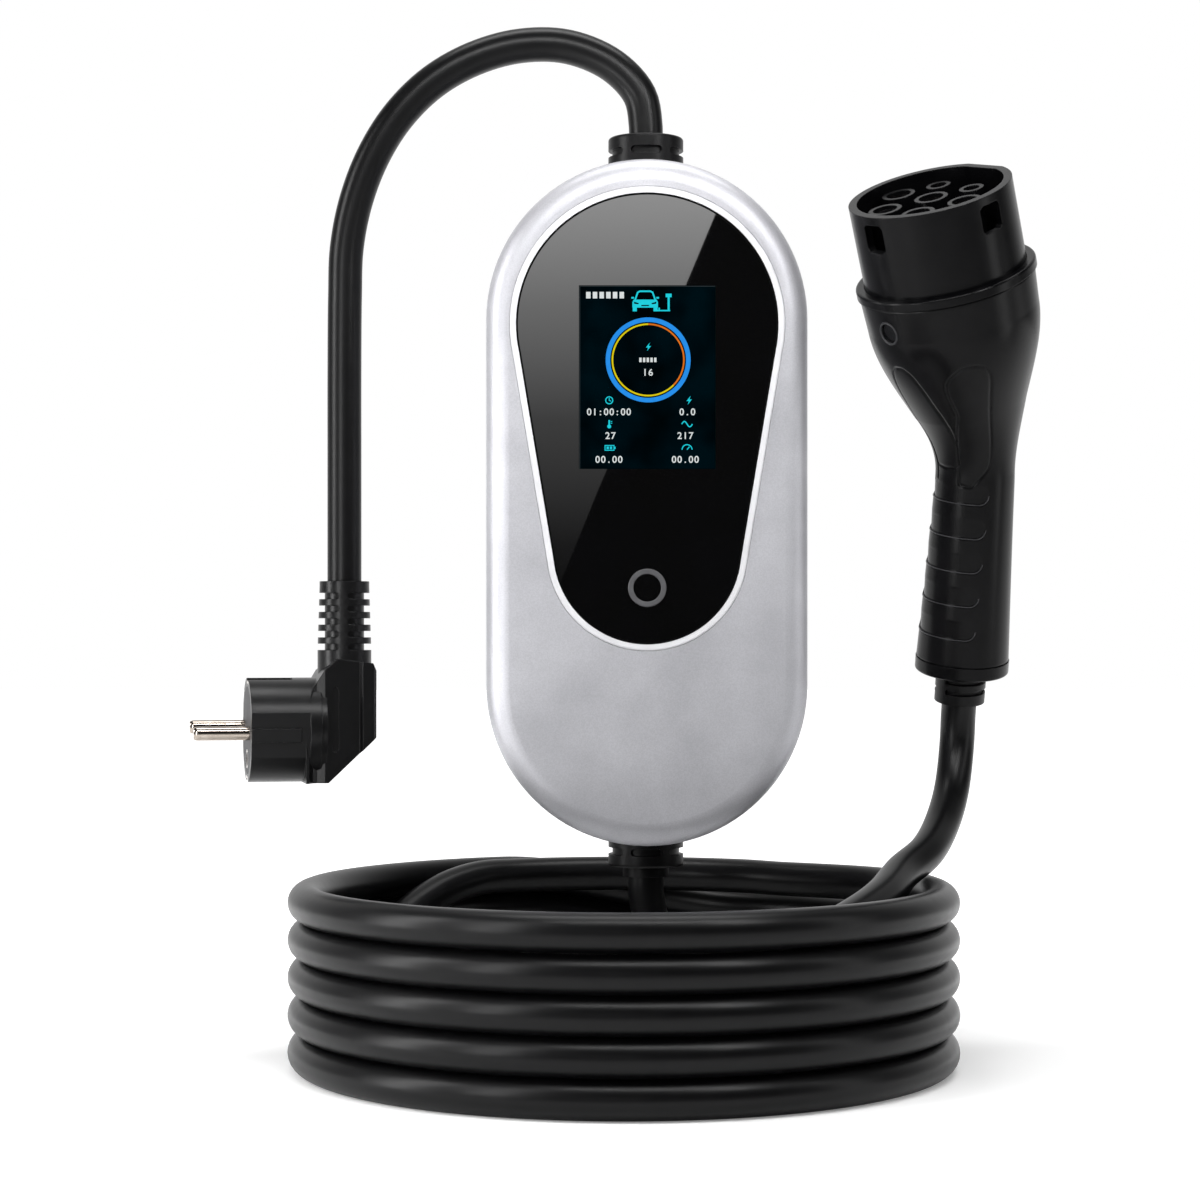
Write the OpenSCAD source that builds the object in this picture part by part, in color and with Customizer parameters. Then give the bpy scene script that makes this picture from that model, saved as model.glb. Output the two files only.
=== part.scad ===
// Portable charger for electric cars: control box, mains lead with plug, and a coiled vehicle lead
// that ends in a vehicle connector. Sizes are in millimetres.
// Origin: middle of the coil's footprint on the floor. +Z is up and the display faces -Y.

/* [Control box] */
// Width of the control box
box_w = 109; // [104:1:120]
// Height of the control box
box_h = 233; // [228:1:250]
// Depth of the control box from front to back
box_d = 58; // [56:1:66]
// Height of the control box above the floor
box_lift = 72.7; // [72:0.1:90]
// Sideways place of the control box
box_x = 8; // [0:0.5:16]
// Depth place of the control box
box_y = 30; // [20:1:40]
// Wall thickness of the two shells
shell_wall = 2.6; // [2.2:0.1:3]
// Thickness of the front wall that carries the panel
front_wall = 5; // [4.6:0.1:6]
// Rounding of the outer edges
edge_r = 8; // [6:0.5:8]
// Gap left between pieces that slide together
fit_gap = 0.1; // [0.05:0.05:0.2]
// Radius of the screw bosses
boss_r = 4; // [3.6:0.1:4.4]
// Shank radius of the case screws
screw_r = 1.5; // [1.25:0.05:1.6]
// Head radius of the case screws
screw_head_r = 2.8; // [2.4:0.1:2.9]
// Head height of the case screws
screw_head_h = 2.4; // [2:0.1:3]

/* [Front panel] */
// Radius of the panel's upper end
panel_top_r = 44.1; // [42:0.1:44.3]
// Radius of the panel's lower end
panel_low_r = 31.6; // [28:0.1:36]
// Distance between the centres of the panel's two ends
panel_pitch = 76.2; // [70:0.1:84]
// Distance from the top of the box to the top of the panel
panel_top_gap = 12.6; // [12:0.1:14]
// Width of the bright band around the panel
bezel_w = 2.2; // [1.8:0.1:2.4]
// Height of the bright band above the front face
bezel_rise = 0.5; // [0.3:0.1:0.8]
// Depth of the panel's seat
panel_seat = 3.2; // [3:0.1:3.4]
// Thickness of the panel
panel_t = 3; // [2.8:0.1:3]
// Width of the shelf that carries the panel
shelf_w = 3; // [2.5:0.1:3.5]
// Width of the display
screen_w = 45.8; // [40:0.1:48]
// Height of the display
screen_h = 61.6; // [56:0.1:64]
// Distance from the top of the panel to the middle of the display
screen_drop = 62; // [58:0.5:64]
// Outer radius of the touch key ring
touch_r = 6.45; // [5.5:0.05:7.5]
// Width of the touch key ring
touch_w = 1.8; // [1.4:0.1:2.2]
// Height of the touch key ring
touch_t = 1; // [0.8:0.1:1.2]
// Depth of the groove that holds the touch key ring
touch_seat = 0.5; // [0.4:0.1:0.6]
// Distance from the bottom of the panel to the middle of the touch key
touch_rise = 19; // [16:0.5:22]

/* [Electronics] */
// Thickness of the circuit boards
board_t = 1.6; // [1.2:0.1:2]
// Width of the main board
board_w = 76; // [70:1:78]
// Height of the main board
board_h = 146; // [140:1:150]
// Height of the main board above the rear wall
board_lift = 6; // [5:0.5:7]
// Shank radius of the board and clamp screws
small_screw_r = 1.25; // [1:0.05:1.4]
// Head radius of the board and clamp screws
small_head_r = 2.4; // [2.1:0.1:2.6]
// Height of the relays
relay_h = 15.5; // [14:0.5:16.5]
// Outer radius of the residual current sensor
sensor_r = 11; // [9:0.5:12]
// Core wire radius
core_r = 1.4; // [1.2:0.1:1.5]

/* [Leads] */
// Radius of the mains lead
mains_r = 5.9; // [5:0.1:6.2]
// Radius of the vehicle lead
lead_r = 6.2; // [6.2:0.1:6.5]
// Mean radius of the coil
coil_r = 106; // [106:1:112]
// Number of turns in the coil
turns = 5; // [4:1:5]
// Half width of the flat that the coil stands on
coil_foot = 2.5; // [2:0.1:3]
// Gap between the coil and the run inside it
coil_gap = 0.3; // [0.2:0.1:1]
// Gland collar radius
gland_r = 13; // [12:0.1:14]
// Gland neck radius in the wall of the box
gland_neck_r = 10; // [9:0.1:10.5]
// Height of the mains gland above the box
mains_gland_h = 10.8; // [9:0.1:12]
// Height of the vehicle gland below the box
lead_gland_h = 8.4; // [8:0.1:9]
// Length of the vehicle gland's nose
lead_nose_h = 3.6; // [3:0.1:3.6]
// Radius of the vehicle gland's nose
lead_nose_r = 8; // [7.8:0.1:9]
// Height of the gland slots
slot_h = 2.4; // [2:0.1:2.6]
// Depth of the gland slots
slot_deep = 1.4; // [1:0.1:2]
// Length of a gland slot in degrees
slot_span = 38; // [34:1:44]
// Web between two gland slots in degrees
slot_web = 25; // [20:1:28]

/* [Mains plug] */
// Sideways place of the plug's cable axis
plug_x = -96.6; // [-100:0.1:-90]
// Height of the plug's pins above the floor
plug_z = 111.6; // [105:0.1:118]
// Turn of the plug about its cable axis
plug_yaw = 12.5; // [8:0.5:16]
// Roll of the plug about its pins
plug_roll = 5; // [0:0.5:6]
// Radius of the plug's face
plug_r = 18; // [17.6:0.1:18.6]
// Distance from the cable axis to the plug's face
plug_reach = 33.6; // [32:0.1:36]
// Depth of the flat on each side of the plug
plug_flat = 1.7; // [1.4:0.1:2]
// Height of the guide rib on each flat
rib_h = 4.7; // [4:0.1:5]
// Radius of the pins
pin_r = 2.4; // [2.35:0.01:2.45]
// Length of the pins beyond the face
pin_len = 19; // [18.5:0.1:19.5]
// Distance between the two pins
pin_pitch = 19; // [18.8:0.1:19.2]
// Radius of the face insert
face_r = 15; // [14.4:0.1:15.2]
// Thickness of the face insert
face_t = 6; // [5:0.1:7]
// Bore radius of the earth socket
earth_bore_r = 2.5; // [2.4:0.05:2.6]
// Distance from the middle of the face to the earth socket
earth_socket_drop = 10; // [9.5:0.1:10.5]
// Width of the earth strips
strip_w = 6.4; // [6:0.1:7]
// Thickness of the earth strips
strip_t = 1; // [0.8:0.1:1.2]
// Length of the earth strips
strip_len = 15; // [13:0.5:16]
// Radius of the plug's sleeve at its lower end
sleeve_r = 9.3; // [9:0.1:9.6]
// Height of the sleeve's lower end above the pins
sleeve_base = 27.5; // [27:0.1:28]
// Pitch of the sleeve's slot rows
sleeve_pitch = 4.4; // [4.2:0.1:4.6]
// Number of the sleeve's slot rows
sleeve_rows = 5; // [4:1:5]
// Height of the sleeve's top collar
sleeve_collar = 1.8; // [1.5:0.1:3]

/* [Vehicle connector] */
// Place of the connector's bend
bend_at = [123.1, 30, 210.9];
// Direction in which the handle leans
handle_heading = -83; // [-90:0.5:-75]
// Lean of the handle from the vertical
handle_lean = 15.5; // [14:0.5:19]
// Turn of the handle about its axis
handle_roll = -69; // [-75:0.5:-60]
// Angle between the handle and the head
head_bend = 17; // [16:0.1:20]
// Turn of the finger side from the plane of the bend
finger_turn = 9; // [0:9:18]
// Length of the curved part between the handle and the head
bend_run = 30; // [26:1:34]
// Radius of the waist of the handle
waist_r = 13.7; // [13.4:0.1:14.2]
// Radius of the handle at its end
handle_end_r = 16.5; // [16.3:0.1:17.5]
// Radius of the housing at its shoulder
shoulder_r = 29.3; // [28.8:0.1:29.6]
// Height of the shoulder above the bend
shoulder_at = 48; // [46:0.5:50]
// Length of the handle below the bend
handle_len = 81.8; // [81:0.1:86]
// Height of the flange above the bend
flange_at = 60; // [58:0.1:62]
// Thickness of the flange
flange_t = 3.2; // [3:0.1:4]
// Radius of the flange
flange_r = 30.7; // [30.4:0.1:31.4]
// Radius of the socket shroud
shroud_r = 27.6; // [27:0.1:27.8]
// Wall of the socket shroud
shroud_wall = 2.8; // [2.6:0.1:3]
// Distance of the shroud's flat from its axis
shroud_flat = 26.4; // [25.6:0.1:26.8]
// Length of the shroud above the flange
shroud_len = 28.4; // [27:0.1:30]
// Depth of the contact collars below the shroud's rim
collar_recess = 2.4; // [2:0.1:4]
// Width of the latch windows
window_w = 8.6; // [7.6:0.1:9]
// Height of the latch windows
window_h = 9.6; // [9:0.1:10.4]
// Distance from the rim to the latch windows
window_drop = 2.8; // [2.4:0.1:4]
// Pitch of the power contacts
contact_pitch = 16; // [15.6:0.1:16.4]
// Distance of the signal contacts from the middle row
signal_rise = 11.2; // [10.8:0.1:11.6]
// Radius of the power collars
power_collar_r = 5.7; // [5.4:0.1:5.9]
// Radius of the signal collars
signal_collar_r = 4.2; // [4:0.1:4.4]
// Bore radius of the power contacts
power_bore_r = 3; // [2.95:0.05:3.1]
// Bore radius of the signal contacts
signal_bore_r = 1.5; // [1.45:0.05:1.6]
// Wall of the contacts
contact_wall = 1.1; // [0.9:0.1:1.2]
// Wall of the housing
housing_wall = 2.6; // [2.4:0.1:2.8]
// Depth of the grip inlays
inlay_t = 0.8; // [0.6:0.1:0.9]
// Height of the end ring
end_ring_h = 4.8; // [4:0.1:5]
// Radius of the connector's cable sleeve
tail_sleeve_r = 8.9; // [8.6:0.1:9.2]
// Length of the connector's cable sleeve beyond the handle
tail_sleeve_len = 11.2; // [10:0.1:12]
// Pitch of the finger grooves
finger_pitch = 12; // [11.8:0.1:12.4]
// Distance from the bend to the first finger groove
finger_at = 15.9; // [15.9:0.1:16.6]
// Half height of a finger groove
finger_half = 3.4; // [3:0.1:3.6]
// Depth of a finger groove
finger_deep = 0.6; // [0.4:0.1:0.8]
// Radius of the housing screw's recess
cap_r = 3.5; // [3.2:0.1:3.8]
// Depth of the housing screw's recess
cap_deep = 2; // [1.8:0.1:2.2]
// Distance of the housing screw below the flange
cap_drop = 8.4; // [8:0.1:9]

/* [Hidden] */
box_r = box_w / 2;
box_run = box_h - box_w;
half_d = box_d / 2;
cut = 1;
panel_y = box_h / 2 - panel_top_gap - panel_top_r;
panel_tilt = asin((panel_top_r - panel_low_r) / panel_pitch);
flank_in = 0.05;
screen_y = panel_y + panel_top_r - screen_drop;
ribbon_y = screen_y - 40;
relay_y = ribbon_y + 8;
touch_y = panel_y - panel_pitch - panel_low_r + touch_rise;
seat_z = half_d - panel_seat;
panel_z = seat_z + panel_t;
glass_z = panel_z - fit_gap;
display_board_in = shelf_w + 1;
rear_floor = shell_wall - half_d;
board_back = rear_floor + board_lift;
board_front = board_back + board_t;
screw_seat = 10 - half_d;
screw_bite = 9;
screw_spots = [[28, 97], [-28, 97], [44, -8], [-44, -8], [28, -97], [-28, -97]];
board_spots = [[32, 62], [-32, 62], [32, -62], [-32, -62]];
board_screw_len = 5;
clamp_y = box_h / 2 - 27;
clamp_half = 4;
clamp_x = 11;
clamp_top = 9;
clamp_screw_len = 10;
tail_end = box_h / 2 - 37;
seal_w = 1.2;
seal_h = 1;
inner_r = box_r - shell_wall;
flange_sag = inner_r - sqrt(inner_r * inner_r - gland_r * gland_r) + fit_gap;
gland_flange_t = 2.5;
gland_in = shell_wall + flange_sag + gland_flange_t;
gland_round = 1;
block_w = 34;
block_d = 12;
block_h = 13;
block_y = board_h / 2 - block_d - 12;
mains_cores = [-6, 0, 6];
lead_cores = [-10, -5, 0, 5, 10];
core_entry = 8;
plug_y = box_y;
face_x = -plug_reach;
pin_root_r = pin_r - 0.3;
sleeve_top = sleeve_base + sleeve_rows * sleeve_pitch + sleeve_collar;
sleeve_top_r = sleeve_r - 0.7;
sleeve_web = 16;
sleeve_turn = -9;
groove_x = -4.6;
groove_half = 1.2;
groove_low = -6.4;
groove_top = 13.8;
groove_floor = 11.4;
sleeve_core_r = sleeve_r - 2.5;
bend_arc_r = bend_run / (head_bend * PI / 180);
bend_lead = bend_arc_r * tan(head_bend / 2);
spine_slip = bend_lead - bend_run / 2;
flange_top = flange_at + flange_t;
mouth_at = flange_top + shroud_len;
shroud_foot = flange_at - 6;
carrier_foot = flange_at + 1;
carrier_top = carrier_foot + 8;
collar_top = mouth_at - collar_recess;
contact_top = collar_top - 2;
contact_foot = carrier_foot - 5;
power_r = power_bore_r + contact_wall;
signal_r = signal_bore_r + contact_wall;
contact_deep = 24;
power_spots = [[0, 0], [0, contact_pitch], [0, -contact_pitch]];
blank_spots = [[contact_pitch * sin(60), contact_pitch / 2], [contact_pitch * sin(60), -contact_pitch / 2]];
signal_spots = [[-signal_rise, contact_pitch / 2], [-signal_rise, -contact_pitch / 2]];
window_round = 1.4;
waist_at = -9.4;
shoulder_slope = 0.05;
housing_foot = end_ring_h - handle_len;
sides = 40;
step = 360 / sides;
finger_reach = 63;
head_count = 24;
head_first = -12;
head_step = (flange_at - head_first) / head_count;
side_from = 3;
side_to = 7;
side_rows = [0, 16];
finger_side = 2;
finger_rows = [3, 16];
tail_sleeve_end = handle_len + tail_sleeve_len;
tail_flange = housing_foot + 3;
tail_in = housing_foot + 14;
cap_at = flange_at - cap_drop;
cap_tilt = 3;
loop_r = coil_r - 2 * lead_r - coil_gap;
coil_top = 2 * lead_r * turns;
gland_foot = box_lift - lead_gland_h - lead_nose_h;

// Half of the plug grip's plan: neck behind the face, broad side, raised rear ridge.
grip_half = [[-15, 16], [-14, 15.6], [-12.4, 12.6], [-11, 11.9], [-9.9, 12.35], [-8.2, 12.9], [4, 10.4],
    [5, 11.6], [8.9, 10.6], [9.9, 9.4]];

function unit(v) = v / norm(v);
function along(p, i) = unit(p[min(i + 1, len(p) - 1)] - p[max(i - 1, 0)]);
function carried(n, t) = unit(n - (n * t) * t);
function normals(p, first, i = 0, done = []) =
    i == len(p) ? done : normals(p, first, i + 1,
        concat(done, [carried(i == 0 ? first : done[i - 1], along(p, i))]));
handle_axis = [sin(handle_lean) * cos(handle_heading), sin(handle_lean) * sin(handle_heading), cos(handle_lean)];
lead_exit = bend_at - (tail_sleeve_end + spine_slip) * handle_axis;
function smooth(u) = u * u * (3 - 2 * u);
function turned(v, a) = [v.x * cos(a) + v.z * sin(a), v.y, v.z * cos(a) - v.x * sin(a)];

// Housing of the connector: place, lean and radius along its spine.
function spine_turn(s) = head_bend * max(0, min(1, s / bend_run + 0.5));
function spine_at(s) =
    s < -bend_run / 2 ? [0, 0, s + bend_run / 2 - bend_lead] :
    s > bend_run / 2 ? spine_at(bend_run / 2) + (s - bend_run / 2) * [sin(head_bend), 0, cos(head_bend)] :
    [bend_arc_r * (1 - cos(spine_turn(s))), 0, bend_arc_r * sin(spine_turn(s)) - bend_lead];
function spine_r(s) =
    s < waist_at ? waist_r + (handle_end_r - waist_r) * pow((waist_at - s) / (waist_at + handle_len), 1.15) :
    waist_r + (shoulder_r - waist_r) * smooth(min(1, (s - waist_at) / (shoulder_at - waist_at)))
        + shoulder_slope * max(0, s - shoulder_at);
function skin(s, r, a) = spine_at(s) + turned([r * cos(a), r * sin(a), 0], spine_turn(s));
function head_s(j) = head_first + head_step * j;
function ring_angle(k) = let (a = k * step - finger_turn) a > 180 ? a - 360 : a;
function in_side(j, k) = j >= side_rows[0] && j <= side_rows[1]
    && abs(ring_angle(k)) >= side_from * step && abs(ring_angle(k)) <= side_to * step;
function in_finger(j, k) = j >= finger_rows[0] && j <= finger_rows[1]
    && abs(ring_angle(k)) <= finger_side * step;
function finger_mask(k) = max(0, min(1, (finger_reach + step - abs(ring_angle(k))) / step));
spigot_r = spine_r(shroud_foot) - inlay_t - housing_wall - 0.8;
throat_r = spigot_r - 2.8;
throat_flat = shroud_flat - shroud_wall - 3;
finger_count = 5;
finger_edge = 0.8;
finger_s = [for (f = [finger_count - 1 : -1 : 0]) -finger_at - f * finger_pitch];
grip_rings = [for (c = finger_s) each [
    [c - finger_half - finger_edge / 2, 0], [c - finger_half + finger_edge / 2, finger_deep],
    [c + finger_half - finger_edge / 2, finger_deep], [c + finger_half + finger_edge / 2, 0]]];
outer_rings = concat(
    [for (k = [0 : sides - 1]) skin(housing_foot, spine_r(housing_foot), k * step)],
    [for (g = grip_rings, k = [0 : sides - 1])
        skin(g[0], spine_r(g[0]) - g[1] * finger_mask(k), k * step)],
    [for (j = [0 : head_count], k = [0 : sides - 1])
        skin(head_s(j), spine_r(head_s(j)) - (in_side(j, k) || in_finger(j, k) ? inlay_t : 0), k * step)]);
inner_s = [housing_foot, -60, -44, -28, -14, -4, 6, 16, 26, 36, shoulder_at - 2, flange_at];
inner_rings = [for (s = inner_s, k = [0 : sides - 1])
    skin(s, spine_r(s) - inlay_t - housing_wall, k * step)];

// Routes of the leads, from the control box outward.
mains_exit = box_lift + box_h + mains_gland_h;
mains_route = [[box_x, box_y, mains_exit], [box_x, box_y, mains_exit + 4], [5.9, 30, 331.6],
    [-3.5, 30, 341.9], [-18.8, 30, 348.4], [-35.4, 30, 348.8], [-51.5, 30, 344.4], [-66, 30, 336.2],
    [-77.8, 30, 324.6], [-86.6, 30, 310.6], [-92.6, 30, 294.9], [-95.8, 30, 278.6], [-96.4, 30, 262],
    [-96.6, 30, 235], [-96.6, 30, 205], [plug_x, plug_y, plug_z + sleeve_top + 4],
    [plug_x, plug_y, plug_z + sleeve_top]];
drop_route = [[box_x, box_y, gland_foot], [box_x, box_y, gland_foot - 5], [10.5, 30.5, 44], [18, 32, 31],
    [31, 36.5, 20], [44, 45, 12], [53, 57, 8], [55.5, 69, 6.4], [47.5, 79.5, 6.4], [35, 86, 6.4],
    [20, 91.3, 6.4], [4, 93.5, 6.4]];
loop_high = lead_r * (2 * turns - 1);
loop_floor = lead_r + 0.2;
function loop_z(a) = loop_floor + (loop_high - loop_floor)
    * (a < 160 ? smooth((135 - min(135, a)) / 115) : smooth(min(1, (a - 160) / 80)));
rise_route = concat(
    [lead_exit, lead_exit - 5 * handle_axis, [119.4, 56.6, 104.8], [116.8, 49.9, 90.1],
        [111.8, 36.9, 78.9], [104.3, 19.5, 70.2], [94.3, 4, 64.4], [85, -17.8, 58.2], [71.5, -40, 52.5],
        [52, -64, 46]],
    [for (a = [75 : 18 : 309]) [loop_r * cos(a), -loop_r * sin(a), loop_z(a)]]);

// Placing of the three groups.
module in_box() {
    translate([box_x, box_y, box_lift + box_h / 2]) rotate([90, 0, 0]) children();
}

module in_plug() {
    translate([plug_x, plug_y, plug_z]) rotate([0, 0, plug_yaw]) children();
}

module in_handle() {
    translate(bend_at) rotate([0, handle_lean, handle_heading]) rotate([0, 0, handle_roll]) children();
}

module in_head() {
    in_handle() rotate([0, head_bend, 0]) translate([0, 0, spine_slip]) rotate([0, 0, finger_turn]) children();
}

module in_grip() {
    in_handle() translate([0, 0, -spine_slip]) children();
}

// Shared shapes.
module half_profile(r, depth, edge) {
    square([r - edge, depth]);
    square([r, depth - edge]);
    translate([r - edge, depth - edge]) circle(edge);
}

module stadium_block(r, run, depth, edge) {
    translate([0, run / 2, 0]) rotate_extrude(angle = 180) half_profile(r, depth, edge);
    translate([0, -run / 2, 0]) rotate([0, 0, 180]) rotate_extrude(angle = 180) half_profile(r, depth, edge);
    translate([0, run / 2, 0]) rotate([90, 0, 0]) linear_extrude(run) {
        half_profile(r, depth, edge);
        mirror([1, 0]) half_profile(r, depth, edge);
    }
}

module stadium_flat(r, run) {
    translate([0, run / 2]) circle(r);
    translate([0, -run / 2]) circle(r);
    square([2 * r, run], center = true);
}

module drop_plate(grow, foot, height) {
    upper = panel_top_r + grow;
    lower = panel_low_r + grow;
    side = [cos(panel_tilt), -sin(panel_tilt)];
    low = [0, -panel_pitch];
    translate([0, panel_y, foot]) {
        cylinder(h = height, r = upper);
        translate(low) cylinder(h = height, r = lower);
        linear_extrude(height) polygon([(upper - flank_in) * side, low + (lower - flank_in) * side,
            low + (lower - flank_in) * [-side.x, side.y], (upper - flank_in) * [-side.x, side.y]]);
    }
}

module tube(route, r, first) {
    n = 10;
    ns = normals(route, first);
    rings = len(route);
    corners = [for (i = [0 : rings - 1], k = [0 : n - 1])
        route[i] + r * (cos(k * 360 / n) * ns[i] + sin(k * 360 / n) * cross(along(route, i), ns[i]))];
    walls = [for (i = [0 : rings - 2], k = [0 : n - 1]) each [
        [i * n + k, (i + 1) * n + k, i * n + (k + 1) % n],
        [i * n + (k + 1) % n, (i + 1) * n + k, (i + 1) * n + (k + 1) % n]]];
    ends = [[for (k = [0 : n - 1]) k], [for (k = [n - 1 : -1 : 0]) (rings - 1) * n + k]];
    polyhedron(corners, concat(walls, ends));
}

module gland_slot(r, foot, span) {
    rotate([0, 0, -span / 2]) rotate_extrude(angle = span)
        translate([r - slot_deep, foot]) square([slot_deep + cut, slot_h]);
    for (a = [-span / 2, span / 2])
        rotate([0, 0, a]) translate([r - slot_deep, 0, foot + slot_h / 2]) rotate([0, 90, 0])
            cylinder(h = slot_deep + cut, r = slot_h / 2);
}

module gland(height, slot_foot, nose_r, nose_h, bore) {
    difference() {
        union() {
            difference() {
                rotate_extrude() {
                    translate([0, -6]) square([gland_r, height + 6 - gland_round]);
                    square([gland_r - gland_round, height]);
                    translate([gland_r - gland_round, height - gland_round]) circle(gland_round);
                }
                translate([0, 0, -box_r]) rotate([90, 0, 0])
                    cylinder(h = 4 * gland_r, r = box_r + fit_gap, center = true);
            }
            translate([0, 0, -gland_in + gland_flange_t]) cylinder(h = gland_in, r = gland_neck_r);
            translate([0, 0, -gland_in]) cylinder(h = gland_flange_t, r = gland_r);
            cylinder(h = height + nose_h, r = nose_r);
        }
        translate([0, 0, -gland_in - cut]) cylinder(h = gland_in + height + nose_h + 2 * cut, r = bore + fit_gap);
        for (k = [0, 1]) {
            rotate([0, 0, 90 + 180 * k]) gland_slot(gland_r, slot_foot, slot_span);
            rotate([0, 0, 180 * k]) gland_slot(gland_r, slot_foot, 180 - slot_span - 2 * slot_web);
        }
    }
}

module gland_notches(r) {
    rotate([90, 0, 0]) cylinder(h = box_h + 4 * cut, r = r, center = true);
}

// Control box.
module front_shell() {
    color("silver") in_box() difference() {
        union() {
            difference() {
                stadium_block(box_r, box_run, half_d, edge_r);
                translate([0, 0, -cut])
                    stadium_block(inner_r, box_run, half_d - front_wall + cut, edge_r - shell_wall);
            }
            for (p = screw_spots) translate(p) cylinder(h = half_d - front_wall + 0.5, r = boss_r);
        }
        drop_plate(bezel_w + fit_gap, seat_z, panel_seat + cut);
        drop_plate(-shelf_w, seat_z - front_wall, front_wall + cut);
        gland_notches(gland_neck_r + fit_gap);
        translate([0, 0, -cut]) linear_extrude(seal_h + cut) difference() {
            stadium_flat(box_r - shell_wall / 2 + seal_w / 2, box_run);
            stadium_flat(box_r - shell_wall / 2 - seal_w / 2, box_run);
        }
        for (p = screw_spots) translate([p.x, p.y, -cut]) cylinder(h = screw_bite + 2 * cut, r = screw_r + fit_gap);
    }
}

module rear_shell() {
    color("silver") in_box() difference() {
        union() {
            difference() {
                mirror([0, 0, 1]) stadium_block(box_r, box_run, half_d, edge_r);
                translate([0, 0, cut]) mirror([0, 0, 1])
                    stadium_block(inner_r, box_run, half_d - shell_wall + cut, edge_r - shell_wall);
            }
            for (p = screw_spots) translate([p.x, p.y, rear_floor - 0.5]) cylinder(h = -rear_floor + 0.5, r = boss_r);
            for (p = board_spots)
                translate([p.x, p.y, rear_floor - 0.5]) cylinder(h = board_lift + 0.5, r = boss_r);
            for (y = [clamp_y, -clamp_y])
                translate([-clamp_x - clamp_half, y - clamp_half, rear_floor - 0.5])
                    cube([2 * (clamp_x + clamp_half), 2 * clamp_half, -rear_floor + 0.5]);
        }
        gland_notches(gland_neck_r + fit_gap);
        translate([0, clamp_y, 0]) rotate([90, 0, 0])
            cylinder(h = 4 * clamp_half, r = mains_r + fit_gap, center = true);
        translate([0, -clamp_y, 0]) rotate([90, 0, 0])
            cylinder(h = 4 * clamp_half, r = lead_r + fit_gap, center = true);
        for (p = screw_spots) {
            translate([p.x, p.y, -half_d - cut]) cylinder(h = half_d + 2 * cut, r = screw_r + fit_gap);
            translate([p.x, p.y, -half_d - cut]) cylinder(h = screw_seat + half_d + cut, r = screw_head_r + fit_gap);
        }
        for (p = board_spots)
            translate([p.x, p.y, board_back - board_screw_len]) cylinder(h = board_screw_len + cut, r = small_screw_r + fit_gap);
        for (x = [-clamp_x, clamp_x], y = [-clamp_y, clamp_y])
            translate([x, y, -clamp_screw_len]) cylinder(h = clamp_screw_len + cut, r = small_screw_r + fit_gap);
    }
}

module case_seal() {
    color("dimgray") in_box() difference() {
        linear_extrude(seal_h) difference() {
            stadium_flat(box_r - shell_wall / 2 + seal_w / 2 - fit_gap / 2, box_run);
            stadium_flat(box_r - shell_wall / 2 - seal_w / 2 + fit_gap / 2, box_run);
        }
        gland_notches(gland_neck_r + fit_gap);
    }
}

module bezel_ring() {
    lip = 0.4;
    color("gainsboro") in_box() difference() {
        union() {
            drop_plate(bezel_w, seat_z, panel_seat + bezel_rise - lip);
            drop_plate(bezel_w - lip, seat_z, panel_seat + bezel_rise);
        }
        drop_plate(fit_gap, seat_z - cut, panel_seat + bezel_rise + 2 * cut);
    }
}

module display_panel() {
    color("black") in_box() difference() {
        drop_plate(0, seat_z, panel_t);
        translate([0, screen_y, seat_z + panel_t / 2])
            cube([screen_w + 2 * fit_gap, screen_h + 2 * fit_gap, panel_t + 2 * cut], center = true);
        translate([0, touch_y, panel_z - touch_seat]) linear_extrude(touch_seat + cut) difference() {
            circle(touch_r + fit_gap);
            circle(touch_r - touch_w - fit_gap);
        }
    }
}

module lcd_module() {
    color("darkslategray") in_box() translate([-screen_w / 2, screen_y - screen_h / 2, seat_z])
        cube([screen_w, screen_h, glass_z - seat_z]);
}

module touch_ring() {
    rim = 0.3;
    color("gray") in_box() translate([0, touch_y, panel_z - touch_seat]) rotate_extrude() {
        translate([touch_r - touch_w, 0]) square([touch_w, touch_t - rim]);
        translate([touch_r - touch_w + rim, 0]) square([touch_w - 2 * rim, touch_t]);
        translate([touch_r - rim, touch_t - rim]) circle(rim);
        translate([touch_r - touch_w + rim, touch_t - rim]) circle(rim);
    }
}

module display_board() {
    color("darkgreen") in_box() drop_plate(-display_board_in, seat_z - board_t, board_t);
}

module display_ribbon() {
    ribbon_w = 14;
    ribbon_t = 0.8;
    color("gray") in_box() translate([-ribbon_w / 2, ribbon_y, board_front])
        cube([ribbon_w, ribbon_t, seat_z - board_t - board_front]);
}

module main_board() {
    color("darkgreen") in_box() difference() {
        translate([-board_w / 2, -board_h / 2, board_back]) cube([board_w, board_h, board_t]);
        for (p = board_spots)
            translate([p.x, p.y, board_back - cut]) cylinder(h = board_t + 2 * cut, r = small_screw_r + fit_gap);
    }
}

module relays() {
    color("black") in_box() for (x = [-22, 2])
        translate([x, relay_y, board_front]) cube([20, 30, relay_h]);
}

module current_sensor() {
    core = 14;
    color("black") in_box() translate([0, -22, board_front]) difference() {
        cylinder(h = core, r = sensor_r);
        translate([0, 0, -cut]) cylinder(h = core + 2 * cut, r = sensor_r * 0.55);
    }
}

module power_module() {
    color("black") in_box() translate([-36, -48, board_front]) cube([22, 34, 16]);
}

module capacitors() {
    can = 5;
    color("dimgray") in_box() for (y = [-20, -33, -46])
        translate([28, y, board_front]) cylinder(h = 14, r = can);
}

module terminal_block(y, cores) {
    translate([-block_w / 2, y, board_front]) difference() {
        cube([block_w, block_d, block_h]);
        for (x = cores) translate([block_w / 2 + x, -cut, core_entry]) rotate([-90, 0, 0])
            cylinder(h = block_d + 2 * cut, r = core_r + fit_gap);
    }
}

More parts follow.
